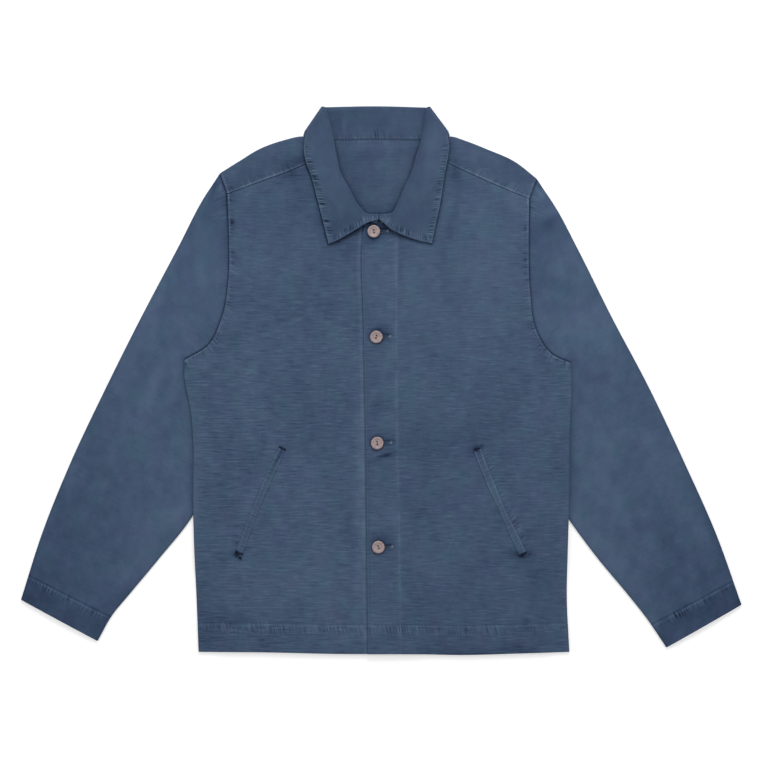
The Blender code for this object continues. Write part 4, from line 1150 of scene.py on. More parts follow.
def makeBack():
    # a Coons patch from the hem to the shoulder folds and the neck, and from each fold a half circle and a
    # strip down to the forward seam
    side = {hand: edge("side", hand, 120) for hand in hands}
    outer = {}
    for hand in hands:
        tip = np.array(outline["shoulder"][hand][0]) * mm
        outer[hand] = np.concatenate([side[hand], edge("armhole", hand, 120)[1:], [tip]])
    run = runOf(outer["right"])
    topRun = np.interp(back["topFrom"], outer["right"][:, 1], run)
    low = np.arange(rim["rows"][2], topRun, back["rowStep"])
    high = np.arange(topRun, run[-1] - 1 * mm, back["topStep"])
    at = np.concatenate([rim["rows"][:2], low, high, run[-1:]])
    v = at / run[-1]
    left = onPath(outer["right"], at)
    right = onPath(outer["left"], v * runOf(outer["left"])[-1])
    s = np.concatenate([np.array(rim["rows"]) / back["stripLength"],
                        np.linspace(0, 1, back["shoulderColumns"] + 1)[1:]])
    neckShare = np.linspace(0, 1, back["neckColumns"] + 1)[1:-1]
    edgeShare = back["shoulderShare"]
    u = np.concatenate([edgeShare * s, edgeShare + (1 - 2 * edgeShare) * neckShare, 1 - edgeShare * s[::-1]])
    folds = {hand: alongSpots(outline["shoulder"][hand], s) for hand in hands}
    a, b = folds["right"][-1], folds["left"][-1]
    neckX = a[0] + neckShare * (b[0] - a[0])
    dip = smoothStep(np.minimum(neckX - a[0], b[0] - neckX) / (12 * mm))
    neckline = np.stack([neckX, a[1] + dip * (back["neckHeight"] - a[1])], -1)
    top = np.concatenate([folds["right"], neckline, folds["left"][::-1]])
    bottom = alongSpots(outline["hem"], u)
    plan = patch(bottom, top, left, right, u, v)
    x, y = plan[..., 0], plan[..., 1]
    neckSeam = np.array(back["neckSeam"]) * mm
    relief = layered(creaseRelief(x, y, back["creases"]), seamRelief(x, y, neckSeam, neckSeamLook, -1, 101))
    inner = smoothStep((y - back["neckFrom"]) / (10 * mm))
    inner *= smoothStep((back["neckReach"] - np.abs(x - back["neckMiddle"])) / (20 * mm))
    # painted shadow along the inside of each roll of the collar
    shade, shadeAt, shadeWidth = back["rollShade"]
    for hand in hands:
        relief[1] -= shade * bell(distance(x, y, fineLine(rollSpots(hand), 60)) - shadeAt, shadeWidth)
    relief[1] += fadeAndShadeTone(x, y, back["fadesAndShading"])
    relief[:3] *= inner
    relief[0] += lumps(x, y, back["unevenness"], 111) * inner * smoothStep((330 * mm - y) / (20 * mm))
    relief[0] = (relief[0] + np.hypot(relief[0], back["floorSmooth"] * inner)) / 2  # nothing below the floor
    width = np.linalg.norm(right - left, axis=1)[:, None]
    inset = np.minimum(np.minimum(u, 1 - u)[None] * width, at[:, None])
    main = np.dstack([x, y, backBase(x, y) + layers["cloth"] / 2 + relief[0]])
    points, walls, shades = [main.reshape(-1, 3)], [rimWall(inset).ravel()], [relief[1:].reshape(3, -1)]
    flats, faces, count = [main.reshape(-1, 3)[:, :2]], [gridFaces(*x.shape)], x.size
    for hand in hands:
        first = x.size - len(u) + (0 if hand == "right" else len(u) - len(s))
        fold = main[-1, :len(s)] if hand == "right" else main[-1, len(u) - len(s):][::-1]
        strip, shade, flat = shoulderStrip(hand, s, fold)
        ids = np.arange(strip.shape[0] * len(s)).reshape(strip.shape[0], -1) + count
        base = first + (np.arange(len(s)) if hand == "right" else np.arange(len(s))[::-1])
        ids = np.concatenate([base[None], ids])
        quads = np.stack([ids[:-1, :-1], ids[:-1, 1:], ids[1:, 1:], ids[1:, :-1]], -1).reshape(-1, 4)
        faces.append(quads if hand == "right" else quads[:, ::-1])
        ends = np.minimum(s * back["stripLength"], 1)[None] + 0 * shade[0]
        points.append(strip.reshape(-1, 3))
        walls.append(rimWall(ends).ravel())
        shades.append(shade.reshape(3, -1))
        flats.append(flat.reshape(-1, 2))
        count += ends.size
    points, faces = np.concatenate(points), np.concatenate(faces)
    isStrip = np.arange(len(points)) >= x.size  # the main part is plain on its other face
    piece = clothWall("backCloth", points, faces, layers["cloth"] * np.concatenate(walls),
                      np.concatenate(flats), np.concatenate(shades, 1), behind=isStrip)
    wear(piece, backCotton, "back")
    return piece


def shoulderStrip(hand, s, fold):
    # rows from a shoulder fold: a half circle out of the back's plane, then straight to the forward seam
    seam = alongSpots(outline["forwardSeam"][hand], s)
    across = seam - fold[:, :2]
    length = np.linalg.norm(across, axis=1)
    forward = across / length[:, None]
    lofted = loft(fold[:, 0], fold[:, 1], bodyFolds)
    radius = (layers["cloth"] + layers["gap"] + lofted) / 2
    angle = np.linspace(0, np.pi, back["foldRows"] + 1)[1:, None]
    bulge = radius * np.sin(angle)
    turned = np.dstack([fold[:, 0] - forward[:, 0] * bulge, fold[:, 1] - forward[:, 1] * bulge,
                        fold[:, 2] + radius * (1 - np.cos(angle))])
    t = np.linspace(0, 1, round(float(length.mean()) / back["stripStep"]) + 1)[1:, None]
    x, y = fold[:, 0] + t * across[:, 0], fold[:, 1] + t * across[:, 1]
    relief = layered(seamRelief(x, y, edge("forwardSeam", hand), yokeLook, -handSign[hand], 121),
                     seamRelief(x, y, bodyEnd(hand), yokeEndLook, handSign[hand], 11))
    relief[0] += lumps(x, y, back["stripUnevenness"], 131)
    relief[1] += fadeAndShadeTone(x, y, back["yokeFadesAndShading"][hand]) - collarShade(x, y, back["collarShade"])
    relief[:3] *= smoothStep(t / 0.25)
    flatStrip = np.dstack([x, y, frontBase(x, y, "right") + layers["cloth"] / 2 + relief[0]])
    strip = np.concatenate([turned, flatStrip])
    shade = np.concatenate([np.zeros((3, back["foldRows"], len(s))), relief[1:]], axis=1)
    flat = np.concatenate([fold[:, :2] + forward * (radius * angle)[..., None],
                           np.dstack([x, y]) + forward * (radius * np.pi)[:, None]])
    return strip, shade, flat


collar = {
    "frontStep": 1.8 * mm,
    "turnRows": 8,
    "backStep": 2.3 * mm,
    "standShares": (0, 0.01, 0.03, 0.07, 0.12, 0.18, 0.25, 0.33, 0.42, 0.52, 0.62, 0.72, 0.82, 0.91),
    "neckDrop": 0.9 * mm,  # how far the stand's sewn edge lies below the rest of it
    "foldRows": 9,
    "overShares": 16,
    "fallShares": (0.05, 0.1, 0.16, 0.22, 0.28, 0.34, 0.4, 0.46, 0.52, 0.58, 0.64, 0.7, 0.76, 0.82, 0.87,
                   0.92, 0.96, 0.983, 0.994, 1),
    "neck": [(-83, 338), (-6, 337.4), (71, 338)],
    "roll": [(-6, 381.2)],
    "over": [(-6, 337.5)],
    "edge": [(-90, 332.5), (-6, 330), (76, 332.5)],
    "overMargin": 4 * mm,
    "overMost": 0.85,
    "stand": {"front": 7.4 * mm, "back": 4.8 * mm},
    "fall": {"front": 10.2 * mm, "back": 1.0 * mm},
    "stitchAt": 6.6 * mm,
    "lift": 1.1 * mm,
    # the roll line near the centre, and the leaf's short end from there to its tip
    "rollStart": {
        "right": [(-4.4, 230.6), (-14, 230.6), (-23, 232.2), (-28.5, 238.2)],
        "left": [(-3, 230.6), (6, 230.6), (15, 232.4), (20, 239)],
    },
    "shortEnd": {
        "right": [(-4.4, 230.6), (-4.3, 226), (-5.6, 224.2), (-9.4, 223.6), (-18.8, 220.6), (-30, 214.1),
                  (-48.9, 203), (-62, 195.6), (-74.1, 190.8)],
        "left": [(-3, 230.6), (-3, 226), (-1.8, 223.6), (1.2, 221.6), (6.6, 216.4), (11.2, 212.4),
                 (20.7, 207.1), (33.9, 201.5), (51.8, 195.5), (70.7, 191.7)],
    },
    "shortReach": 0.3,
    # broad paler and darker places, partly faded dye and partly painted light and shade
    "fadesAndShading": [(-84, 262, 40, 14, 105, 0.02), (66, 290, 55, 13, 78, 0.2), (-84, 366, 10, 12, 60, -0.1),
              (72, 338, 26, 12, 80, 0.18), (-37, 208, 18, 7, 15, -0.16), (26, 208, 18, 7, -15, -0.16),
              (-86, 340, 22, 10, 60, 0.08), (-70, 225, 24, 10, 100, -0.06), (-66, 217, 12, 13, 0, -0.2),
              (-4, 225, 10, 5, 0, -0.1)],
    "standFadesAndShading": [(-62, 362, 8, 14, 0, -0.14), (-52, 356, 14, 2.5, 85, 0.3), (30, 362, 30, 8, 0, 0.06),
                   (-26, 360, 40, 12, 0, -0.18), (-42, 377, 40, 9, 0, -0.24)],
    "creases": [(-85, 300, -60, 230, 6, 10, 0.6, 0.02), (75, 300, 50, 235, -6, 10, 0.6, 0.02),
                (-60, 225, -75, 200, 2, 7, 0.4, 0.03), (50, 225, 68, 202, -2, 7, 0.4, 0.03)],
    "rollShade": (0.16, 2.2 * mm),
    "unevenness": (0.35 * mm, 22 * mm, 26 * mm),
    "thinSeam": 0.3,  # share of the wall that the stand keeps at its sewn edge
    "flatWidth": 0.105,
}
collarStitchLook = makeLook(grooveWidth=0.9, groove=0.35, pitch=6, slant=0.3, pucker=0.4, reach=3.9,
                            lean=-1.5, puckerTone=1.22, pullTone=0.08, grooveTone=0.1, edgeTone=0.42,
                            edgeAt=1, edgeWidth=1.3)
standLook = makeLook(armholeLook, ridgeAt=2.6, ridgeWidth=0.8, ridge=0.2, pitch=6, pucker=0.4, reach=9,
                     groove=0.1, ridgeTone=0.6, puckerTone=0.6, grooveTone=0.1)


def rollSpots(hand):
    # the roll line of one side, from the centre front
    return collar["rollStart"][hand] + outline["collarRoll"][hand][2:]


def collarHalf(hand):
    # five lines from the centre front to the back of the side: neck seam, top of the stand, top of the fall,
    # the fall above the neck seam, and the outer edge. They lie flat, then turn down in half circles
    count = round(runOf(edge("collarEdge", hand, 200))[-1] / collar["frontStep"]) + 1
    t = np.linspace(0, 1, count)
    t = np.concatenate([t[:1], [0.15 * t[1], 0.5 * t[1]], t[1:]])
    lines = (outline["collarNeck"][hand], rollSpots(hand), outline["collarEdge"][hand])
    neck, roll, outer = (alongSpots(spots, t) for spots in lines)
    depth = np.linalg.norm(neck - roll, axis=1) + collar["overMargin"]
    share = np.minimum(depth / np.linalg.norm(outer - roll, axis=1), collar["overMost"])[:, None]
    over = roll + share * (outer - roll)
    rest = np.maximum(frontBase(*outer.T, "right"), frontBase(*outer.T, hand))
    rest = rest + layers["cloth"] + layers["gap"] + layers["collarCloth"] / 2
    ones = np.ones(len(t))
    stand, fall = collar["stand"]["front"] * ones, collar["fall"]["front"] * ones
    high = np.column_stack([stand, stand, fall, fall, rest])
    flat = np.dstack([np.stack([neck, roll, roll, over, outer], 1), high])
    low = np.array([collar["stand"]["back"]] * 2 + [collar["fall"]["back"]] * 3)
    radius, middle = (high[-1] - low) / 2, (high[-1] + low) / 2
    fold = roll[-1] - neck[-1]
    outward = np.array([-fold[1], fold[0]]) / np.linalg.norm(fold)
    outward *= np.sign(outward[0]) * handSign[hand]
    angle = np.linspace(np.pi / 2, -np.pi / 2, collar["turnRows"] + 1)[1:, None]
    plan = flat[-1, None, :, :2] + (radius * np.cos(angle))[..., None] * outward
    return np.concatenate([flat, np.dstack([plan, middle + radius * np.sin(angle)])]), t


def collarRelief(x, y, hand):
    # a leaf's puckered topstitching with painted light and shade, its lifted edge with a paler line, the
    # painted shade along its roll, and soft creases
    away, run = nearLine(x, y, leafEdge(hand, 100), 60 * mm)
    d = np.clip(np.abs(away), 0, 60 * mm)
    look, seed = collarStitchLook, 141 + handSign[hand]
    off = d - collar["stitchAt"]
    slanted = run + look["slant"] * off
    pull = pucker(slanted, look["pitch"], seed)
    groove = bell(off, look["grooveWidth"])
    fade = bell(off - look["lean"], look["reach"] * sway(run, 0.3, 9 * mm, seed + 3))
    fade = fade * sway(run, 0.2, 24 * mm, seed + 4) * smoothStep((342 * mm - y) / (30 * mm))
    height = look["pucker"] * pull * fade - look["groove"] * groove
    height += collar["lift"] * bell(d, 10 * mm) * sway(run, 0.5, 22 * mm, seed + 20)
    paler = bell(d - look["edgeAt"], look["edgeWidth"]) * sway(run, 0.8, 4.5 * mm, seed + 30)
    tone = look["pullTone"] * look["puckerTone"] * pull * fade - look["grooveTone"] * groove
    tone += look["edgeTone"] * paler
    shade, shadeWidth = collar["rollShade"]
    tone -= shade * bell(distance(x, y, fineLine(rollSpots(hand), 80)), shadeWidth)
    tone = tone + fadeAndShadeTone(x, y, collar["fadesAndShading"])
    total = layered(np.array([height, tone, look["puckerTone"] * fade, slanted]),
                    creaseRelief(x, y, collar["creases"]))
    total[0] += lumps(x, y, collar["unevenness"], 151)
    return total


def makeCollar():
    # one band folded along its roll line: at each station the stand, a half circle, and the fall
    (right, rightShare), (left, leftShare) = collarHalf("right"), collarHalf("left")
    gap = np.linalg.norm(left[-1, 0, :2] - right[-1, 0, :2])
    t = np.linspace(0, 1, round(gap / collar["backStep"]) + 1)[1:-1]
    backLines = []
    for i, name in enumerate(("neck", "roll", "roll", "over", "edge")):
        spots = np.array(collar[name]) * mm
        plan = along([right[-1, i, :2], *spots, left[-1, i, :2]], t)
        backLines.append(np.column_stack([plan, np.full(len(t), right[-1, i, 2])]))
    band = np.concatenate([right, np.stack(backLines, 1), left[::-1]])
    neck, stand, fall, over, outer = band.transpose(1, 0, 2)
    up = (stand - neck) * [1, 1, 0]
    tall = np.linalg.norm(up, axis=1)[:, None]
    up /= tall
    middle, radius = (stand + fall) / 2, np.linalg.norm(fall - stand, axis=1)[:, None] / 2
    columns = [neck + share * (stand - neck) for share in collar["standShares"]]
    for angle in np.linspace(0, np.pi, collar["foldRows"] + 1):
        columns.append(middle + (stand - middle) * np.cos(angle) + radius * np.sin(angle) * up)
    columns += [fall + share * (over - fall) for share in np.linspace(0, 1, collar["overShares"] + 1)[1:]]
    columns += [over + share * (outer - over) for share in collar["fallShares"]]
    grid = np.stack(columns, 1)
    column = np.arange(grid.shape[1])
    onFall = smoothStep((column - len(collar["standShares"]) - collar["foldRows"] + 2) / 3)
    length = np.linalg.norm((outer - fall)[:, :2], axis=1)[:, None]
    share = np.clip(np.linalg.norm((grid - fall[:, None])[..., :2], axis=-1) / length, 0, 1) * (onFall > 0)
    share[:, -1] = 1
    sides = (("right", rightShare, slice(0, len(rightShare)), 0),
             ("left", leftShare[::-1], slice(len(neck) - len(leftShare), None), len(neck) - 1))
    # the short ends bend from straight to the leaf's own line, less and less away from the centre
    for hand, shareOf, rows, station in sides:
        line = alongSpots(collar["shortEnd"][hand], share[station])
        straight = fall[station, :2] + share[station][:, None] * (outer[station] - fall[station])[:2]
        near = np.clip(1 - shareOf / collar["shortReach"], 0, 1) ** 2
        grid[rows, :, :2] += near[:, None, None] * ((line - straight) * (share[station] > 0)[:, None])[None]
    x, y = grid[..., 0], grid[..., 1]
    total = np.zeros((4, *x.shape))
    for hand, _, rows, _ in sides:
        total[:, rows] = collarRelief(x[rows], y[rows], hand)
    total[:3] *= onFall
    station = np.arange(len(neck))
    first, last = (collar["turnRows"] + len(part) for part in (rightShare, leftShare))
    atBack = (station >= first) & (station < len(neck) - last)
    onStand = (column < len(collar["standShares"]))[None] & atBack[:, None]
    relief = seamRelief(x, y, neck[atBack][:, :2], standLook, 1, 161)
    relief[1] += fadeAndShadeTone(x, y, collar["standFadesAndShading"])
    beyond = np.ones(len(column) - len(collar["standShares"]))
    fromNeck = tall * np.concatenate([collar["standShares"], beyond])
    relief[0] -= collar["neckDrop"] * (1 - smoothStep(fromNeck / (6 * mm)))
    relief[:3] *= onStand
    total = layered(total, relief)
    grid[..., 2] += total[0]
    across = np.cumsum(np.linalg.norm(np.diff(grid, axis=1, prepend=grid[:, :1]), axis=-1), axis=1)
    flat = np.dstack([np.broadcast_to(runOf(outer)[:, None], x.shape), across]).reshape(-1, 2)
    ends = np.interp(np.minimum(station, station[::-1]), [0, 1, 2, 3], [0, 0.3 * mm, 0.9 * mm, 1.8 * mm])
    inset = np.minimum(np.where(onFall > 0, (1 - share) * length, fromNeck), ends[:, None])
    thin = collar["thinSeam"] + (1 - collar["thinSeam"]) * smoothStep(fromNeck / (5 * mm))
    wall = layers["collarCloth"] * rimWall(0.7 * inset) * np.where(onStand, thin, 1)
    points, faces = grid.reshape(-1, 3), gridFaces(*x.shape)
    piece = clothWall("collarCloth", points, faces, wall.ravel(), flat, total[1:])
    wear(piece, collarCotton, "collar")
    return piece


def makeWelt(hand):
    # a strip along a bowed line, from points of the front's surface moved out
    whole = runOf(fineLine(welt["line"][hand], 80))[-1]
    v = shares(whole, welt["step"])
    centre = alongSpots(welt["line"][hand], v)
    across = leftOf(centre)
    length = v * whole
    half = welt["width"] / 2 * sway(length, welt["widthSway"], 24 * mm, 173 + handSign[hand])[:, None]
    side = np.concatenate([[-1, -0.92, -0.78], np.linspace(-0.6, 0.6, welt["columns"]), [0.78, 0.92, 1]])
    offset = half * side
    x = centre[:, :1] + offset * across[:, :1]
    y = centre[:, 1:] + offset * across[:, 1:]
    pull = pucker(length, 4.2 * mm, 171)[:, None]
    z, shade = frontMiddle(x, y, hand)
    z = z + layers["cloth"] / 2 + layers["gap"] + welt["cloth"] / 2
    z = z + welt["loft"] * (1 - side ** 2) + welt["pucker"] * pull * np.abs(side)
    lines = bell(np.abs(side) - welt["lineAt"], welt["lineWidth"]) * sway(length, 0.5, 9 * mm, 174)[:, None]
    shade[0] = 0.3 * shade[0] + welt["lineTone"][hand] * lines + welt["middleTone"][hand] * (1 - side ** 2)
    shade[0] += fadeAndShadeTone(x, y, welt["fadesAndShading"][hand])
    alongIt = np.broadcast_to(length[:, None], x.shape)
    shade[1:] = np.full(x.shape, welt["pull"]), alongIt
    inset = np.minimum(half - np.abs(offset), (np.minimum(v, 1 - v) * whole)[:, None])
    points, faces = np.dstack([x, y, z]).reshape(-1, 3), gridFaces(*x.shape)
    flat = np.dstack([offset, alongIt]).reshape(-1, 2)
    wall = welt["cloth"] * rimWall(inset)
    piece = clothWall(hand + "WeltCloth", points, faces, wall.ravel(), flat, shade)
    wear(piece, frontCotton[hand], hand + "_welt")
    makeBartacks(hand, centre, across)
    return piece


def makeBartacks(hand, centre, across):
    # a bar of close stitches over each end of a welt, square to it, and knots of loose stitches
    surface, parts = frontTop(hand), []
    over = layers["gap"] + welt["cloth"] + bartack["height"]
    for end, beside, reach in ((0, 1, bartack["reach"][0]), (-1, -2, bartack["reach"][1])):
        middle = centre[end] + np.linspace(-1, 1, bartack["rows"])[:, None] * reach * across[end]
        inward = centre[beside] - centre[end]
        inward /= np.linalg.norm(inward)
        start, stop = middle - bartack["out"] * inward, middle + bartack["in"] * inward
        startZ, stopZ = surface(*start.T) + 0.5 * over, surface(*stop.T) + over
        parts.append(bars(start, stop, startZ, stopZ, bartack["radius"]))
    draw = np.random.default_rng(191 + handSign[hand])
    count, (least, more) = bartack["knotStitches"], bartack["knotLift"]
    spread = bartack["knotSpread"]
    for x, y, reach in bartack["knots"][hand]:
        middle = np.array([x, y]) * mm + draw.uniform(-spread, spread, (count, 2)) * reach * mm
        angle = draw.uniform(0, np.pi, count)
        half = 0.5 * reach * mm * np.column_stack([np.cos(angle), np.sin(angle)])
        lift = least + more * draw.uniform(0, 1, count)
        parts.append(raisedBars(middle - half, middle + half, surface, lift, bartack["knotRadius"]))
    simpleMesh(hand + "Bartacks", *joinParts(parts), darkThread)


def simpleMesh(name, points, faces, material):
    # a mesh from points and quads, worn on the body
    mesh = bpy.data.meshes.new(name)
    mesh.from_pydata(points.tolist(), [], faces.tolist())
    mesh.validate()
    mesh.shade_smooth()
    return wear(newObject(name, mesh), material)


button = {
    "radius": 8.8 * mm,
    "thick": 3.0 * mm,
    "sides": 72,
    "holeRadius": 1.2 * mm,
    "holeOffset": 1.9 * mm,
    "spots": [(-10.8, 208.7), (-7.3, 60.9), (-6, -87.5), (-4.3, -233.1)],
    "turns": [10, -14, 6, 22],  # of the pair of holes, in degrees
    "profile": [(0, 0.62), (0.3, 0.62), (0.5, 0.66), (0.62, 0.76), (0.72, 0.93), (0.8, 1), (0.88, 0.99),
                (0.95, 0.9), (0.99, 0.72), (1, 0.5), (0.985, 0.3), (0.93, 0.14), (0.85, 0.05), (0.7, 0),
                (0, 0)],
    "wobble": 0.018,
    "wobblePitch": 0.9,
    "holeSides": 28,
    "sharpFrom": 45,
    # its thread: passes beside each other, how far they reach over the holes and dip into them
    "passes": (-0.3 * mm, 0.3 * mm),
    "passSteps": 15,
    "passRadius": 0.19 * mm,
    "passEnd": 0.35 * mm,
    "passLift": 0.35 * mm,
    "passDip": 1.6 * mm,
    "dipFrom": 0.72,
}


horn = {
    "clouds": ((260, 420, 260), 3.0, 0.6),
    "cloudShare": 0.65,
    "specks": ((1500, 2100, 1500), 2.0, 0.6),
    "speckShare": 0.35,
    "dark": (0.25, 0.178, 0.175),
    "pale": (0.48, 0.385, 0.385),
    "ends": (0.3, 0.7),
    "roughness": (0.2, 0.32),  # the clouds' share of it, and the rest
    "bump": {"Strength": 0.25, "Distance": 0.1 * mm},
}
threadLook = {
    "twist": ((2200, 2200, 2200), 2.0),
    "dark": 0.75,
    "pale": 1.25,
    "specular": 0.2,
}


def twoTone(tree, level, dark, pale, ends=(0, 1)):
    # a colour that goes from dark to pale while a level goes from one end to the other
    node = addNode(tree, "ShaderNodeValToRGB", Fac=level)
    for element, place, colour in zip(node.color_ramp.elements, ends, (dark, pale)):
        element.position = place
        element.color = (*colour, 1)
    return node.outputs[0]


def buttonMaterial():
    # pale corozo: clouds and specks of a warmer tan
    made, tree, shader = newMaterial("buttonHorn")
    around = addNode(tree, "ShaderNodeTexCoord").outputs["Object"]
    clouds = stretchedNoise(tree, around, *horn["clouds"])
    specks = stretchedNoise(tree, around, *horn["specks"])
    mixed = calc(tree, "MULTIPLY_ADD", specks, horn["speckShare"],
                 calc(tree, "MULTIPLY", clouds, horn["cloudShare"]))
    feed(tree, shader, {
        "Base Color": twoTone(tree, mixed, horn["dark"], horn["pale"], horn["ends"]),
        "Normal": addNode(tree, "ShaderNodeBump", Height=mixed, **horn["bump"]).outputs[0],
        "Roughness": calc(tree, "MULTIPLY_ADD", clouds, *horn["roughness"]),
    })
    return made


def threadMaterial(name, colour, roughness):
    # thread: two tones along its twist
    made, tree, shader = newMaterial(name)
    around = addNode(tree, "ShaderNodeTexCoord").outputs["Object"]
    dark, pale = ([share * part for part in colour] for share in (threadLook["dark"], threadLook["pale"]))
    twist = twoTone(tree, stretchedNoise(tree, around, *threadLook["twist"]), dark, pale)
    feed(tree, shader, {"Base Color": twist, "Roughness": roughness})
    feed(tree, shader, {"Specular IOR Level": threadLook["specular"]})
    return made


buttonHorn = buttonMaterial()
threadCotton = threadMaterial("threadCotton", (0.062, 0.102, 0.165), 0.8)
holeThread = threadMaterial("holeThread", (0.27, 0.19, 0.18), 0.7)
# painted shadow: near black, for the shade inside the buttonholes' slits
slitShadow = threadMaterial("slitShadow", (0.012, 0.018, 0.03), 0.9)
paleCotton = threadMaterial("paleCotton", (0.095, 0.145, 0.22), 0.8)
paleThread = threadMaterial("paleThread", (0.15, 0.205, 0.275), 0.8)
darkThread = threadMaterial("darkThread", (0.007, 0.014, 0.033), 0.85)


def makeButton(number):
    # a turned disc with a slightly uneven rim, cut through by two round holes
    name = "button_" + str(number + 1)
    x, y = np.array(button["spots"][number]) * mm
    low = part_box(name)[0][2]
    top = button["thick"] * button["profile"][0][1]
    profile = np.array(button["profile"])[1:-1]
    count = button["sides"]
    angle = np.linspace(0, 2 * np.pi, count, endpoint=False)
    wobble = sway(angle, button["wobble"], button["wobblePitch"], 181 + number)
    wobble = 1 + (wobble - 1) * np.sin(angle / 2) ** 0.5
    radius = button["radius"] * profile[:, :1] * wobble
    height = np.broadcast_to(button["thick"] * profile[:, 1:], radius.shape)
    ring = np.dstack([radius * np.cos(angle), radius * np.sin(angle), height])
    points = np.concatenate([ring.reshape(-1, 3), [[0, 0, top], [0, 0, 0]]])
    faces = gridFaces(len(profile), count, closed=True)[:, ::-1].tolist()
    last = (len(profile) - 1) * count
    for i in range(count):
        j = (i + 1) % count
        faces += [[i, j, len(points) - 2], [last + j, last + i, len(points) - 1]]
    mesh = bpy.data.meshes.new("buttonBlank")
    mesh.from_pydata(points.tolist(), [], faces)
    mesh.validate()
    blank, drills = newObject("buttonBlank", mesh), []
    turn = np.radians(button["turns"][number])
    for sign in (-1, 1):
        offset = sign * button["holeOffset"]
        bpy.ops.mesh.primitive_cylinder_add(
            vertices=button["holeSides"], radius=button["holeRadius"], depth=4 * button["thick"],
            location=(-offset * np.sin(turn), offset * np.cos(turn), 0))
        drills.append(bpy.context.object)
        blank.modifiers.new("hole", "BOOLEAN").object = drills[-1]
    bpy.context.view_layer.update()
    cut = bpy.data.meshes.new_from_object(blank.evaluated_get(bpy.context.evaluated_depsgraph_get()))
    for leftover in (blank, *drills):
        bpy.data.objects.remove(leftover)
    co = np.empty(3 * len(cut.vertices), "f")
    cut.vertices.foreach_get("co", co)
    co = co.reshape(-1, 3) + np.array([x, y, low])
    cut.vertices.foreach_set("co", co.ravel())
    cut.shade_smooth()
    cut.set_sharp_from_angle(angle=np.radians(button["sharpFrom"]))
    cut.materials.clear()
    piece = wear(newObject("button" + str(number + 1), cut), buttonHorn, name)
    makeButtonThread(number, x, y, low, turn)
    return piece


def tube(path, radius, sides=8):
    # points and quads of a round tube along a path, open at both ends
    step = unit(np.gradient(path, axis=0))
    side = unit(np.cross(step, [0.31, 0.27, 0.91]))
    up = np.cross(side, step)
    angle = np.linspace(0, 2 * np.pi, sides, endpoint=False)[:, None]
    around = side[:, None] * np.cos(angle) + up[:, None] * np.sin(angle)
    points = path[:, None] + np.broadcast_to(radius, len(path))[:, None, None] * around
    return points.reshape(-1, 3), gridFaces(len(path), sides, closed=True)


def makeButtonThread(number, x, y, low, turn):
    # a few passes of thread from one hole to the other over the button's flat middle
    parts = []
    t = np.linspace(-1, 1, button["passSteps"])
    dip = np.clip(np.abs(t) - button["dipFrom"], 0, 1) / (1 - button["dipFrom"])
    height = low + button["thick"] * button["profile"][0][1] + button["passLift"] - button["passDip"] * dip
    reach = (button["holeOffset"] - button["passEnd"]) * t
    for k, shift in enumerate(button["passes"]):
        shiftX = shift * (1 - 0.5 * t ** 2)
        px = x + shiftX * np.cos(turn) - reach * np.sin(turn)
        py = y + shiftX * np.sin(turn) + reach * np.cos(turn)
        parts.append(tube(np.column_stack([px, py, height + 0.05 * mm * k]), button["passRadius"]))
    simpleMesh("buttonThread" + str(number + 1), *joinParts(parts), holeThread)


def capsules(centres, directions, length, radius):
    # points and quads of small rounded dashes: six sides, closed by rings of shrinking radius
    sides = 6
    t = np.array([-0.5, -0.42, -0.2, 0.2, 0.42, 0.5])
    scale = np.array([0.25, 0.8, 1, 1, 0.8, 0.25])
    side = unit(np.cross(directions, [0, 0, 1.0]))
    up = np.cross(side, directions)
    angle = np.linspace(0, 2 * np.pi, sides, endpoint=False)
    ringed = (side[:, None] * np.cos(angle)[:, None] + up[:, None] * np.sin(angle)[:, None] * 0.8)
    points = (centres[:, None, None] + length * t[:, None, None] * directions[:, None, None]
              + radius * scale[:, None, None] * ringed[:, None])
    one = gridFaces(len(t), sides, closed=True)
    caps = np.array([[0, 5, 4, 1], [1, 4, 3, 2], [30, 31, 34, 35], [31, 32, 33, 34]])
    faces = np.concatenate([one, caps])
    each = len(t) * sides
    every = faces[None] + each * np.arange(len(centres))[:, None, None]
    return points.reshape(-1, 3), every.reshape(-1, 4)


def bars(start, end, startZ, endZ, radius):
    # capsules from one row of points to another, all of their mean length
    a, b = np.column_stack([start, startZ]), np.column_stack([end, endZ])
    size = np.linalg.norm(b - a, axis=1)
    return capsules((a + b) / 2, (b - a) / size[:, None], float(size.mean()), radius)


def raisedBars(start, end, surface, lift, radius):
    # bars at a height over a cloth whose own height is surface(x, y)
    return bars(start, end, surface(*start.T) + lift, surface(*end.T) + lift, radius)


thread = {"pitch": 3.1 * mm, "dash": 2.4 * mm, "radius": 0.24 * mm, "sink": 0.02 * mm,
          "fromArmhole": 2.4 * mm, "fromEdge": 3 * mm}


def stitchRow(path, surface, seed):
    # dashes along a line on a cloth whose height is surface(x, y)
    length = runOf(path)[-1]
    at = np.arange(thread["pitch"], length - thread["pitch"] / 2, thread["pitch"])
    at = at + 0.2 * mm * waver(at, thread["pitch"], seed)
    half = thread["dash"] / 2
    start, end = onPath(path, at - half), onPath(path, at + half)
    lift = thread["radius"] - thread["sink"]
    start = np.column_stack([start, surface(*start.T) + lift])
    end = np.column_stack([end, surface(*end.T) + lift])
    return capsules((start + end) / 2, unit(end - start), thread["dash"], thread["radius"])


def joinParts(parts):
    # points and faces of several meshes as one
    count = np.cumsum([0] + [len(p) for p, _ in parts])
    return np.concatenate([p for p, _ in parts]), np.concatenate([f + n for (_, f), n in zip(parts, count)])


def frontTop(hand):
    # the height of a front's upper face, as a function of x and y
    def surface(x, y):
        return frontMiddle(x, y, hand)[0] + layers["cloth"] / 2
    return surface


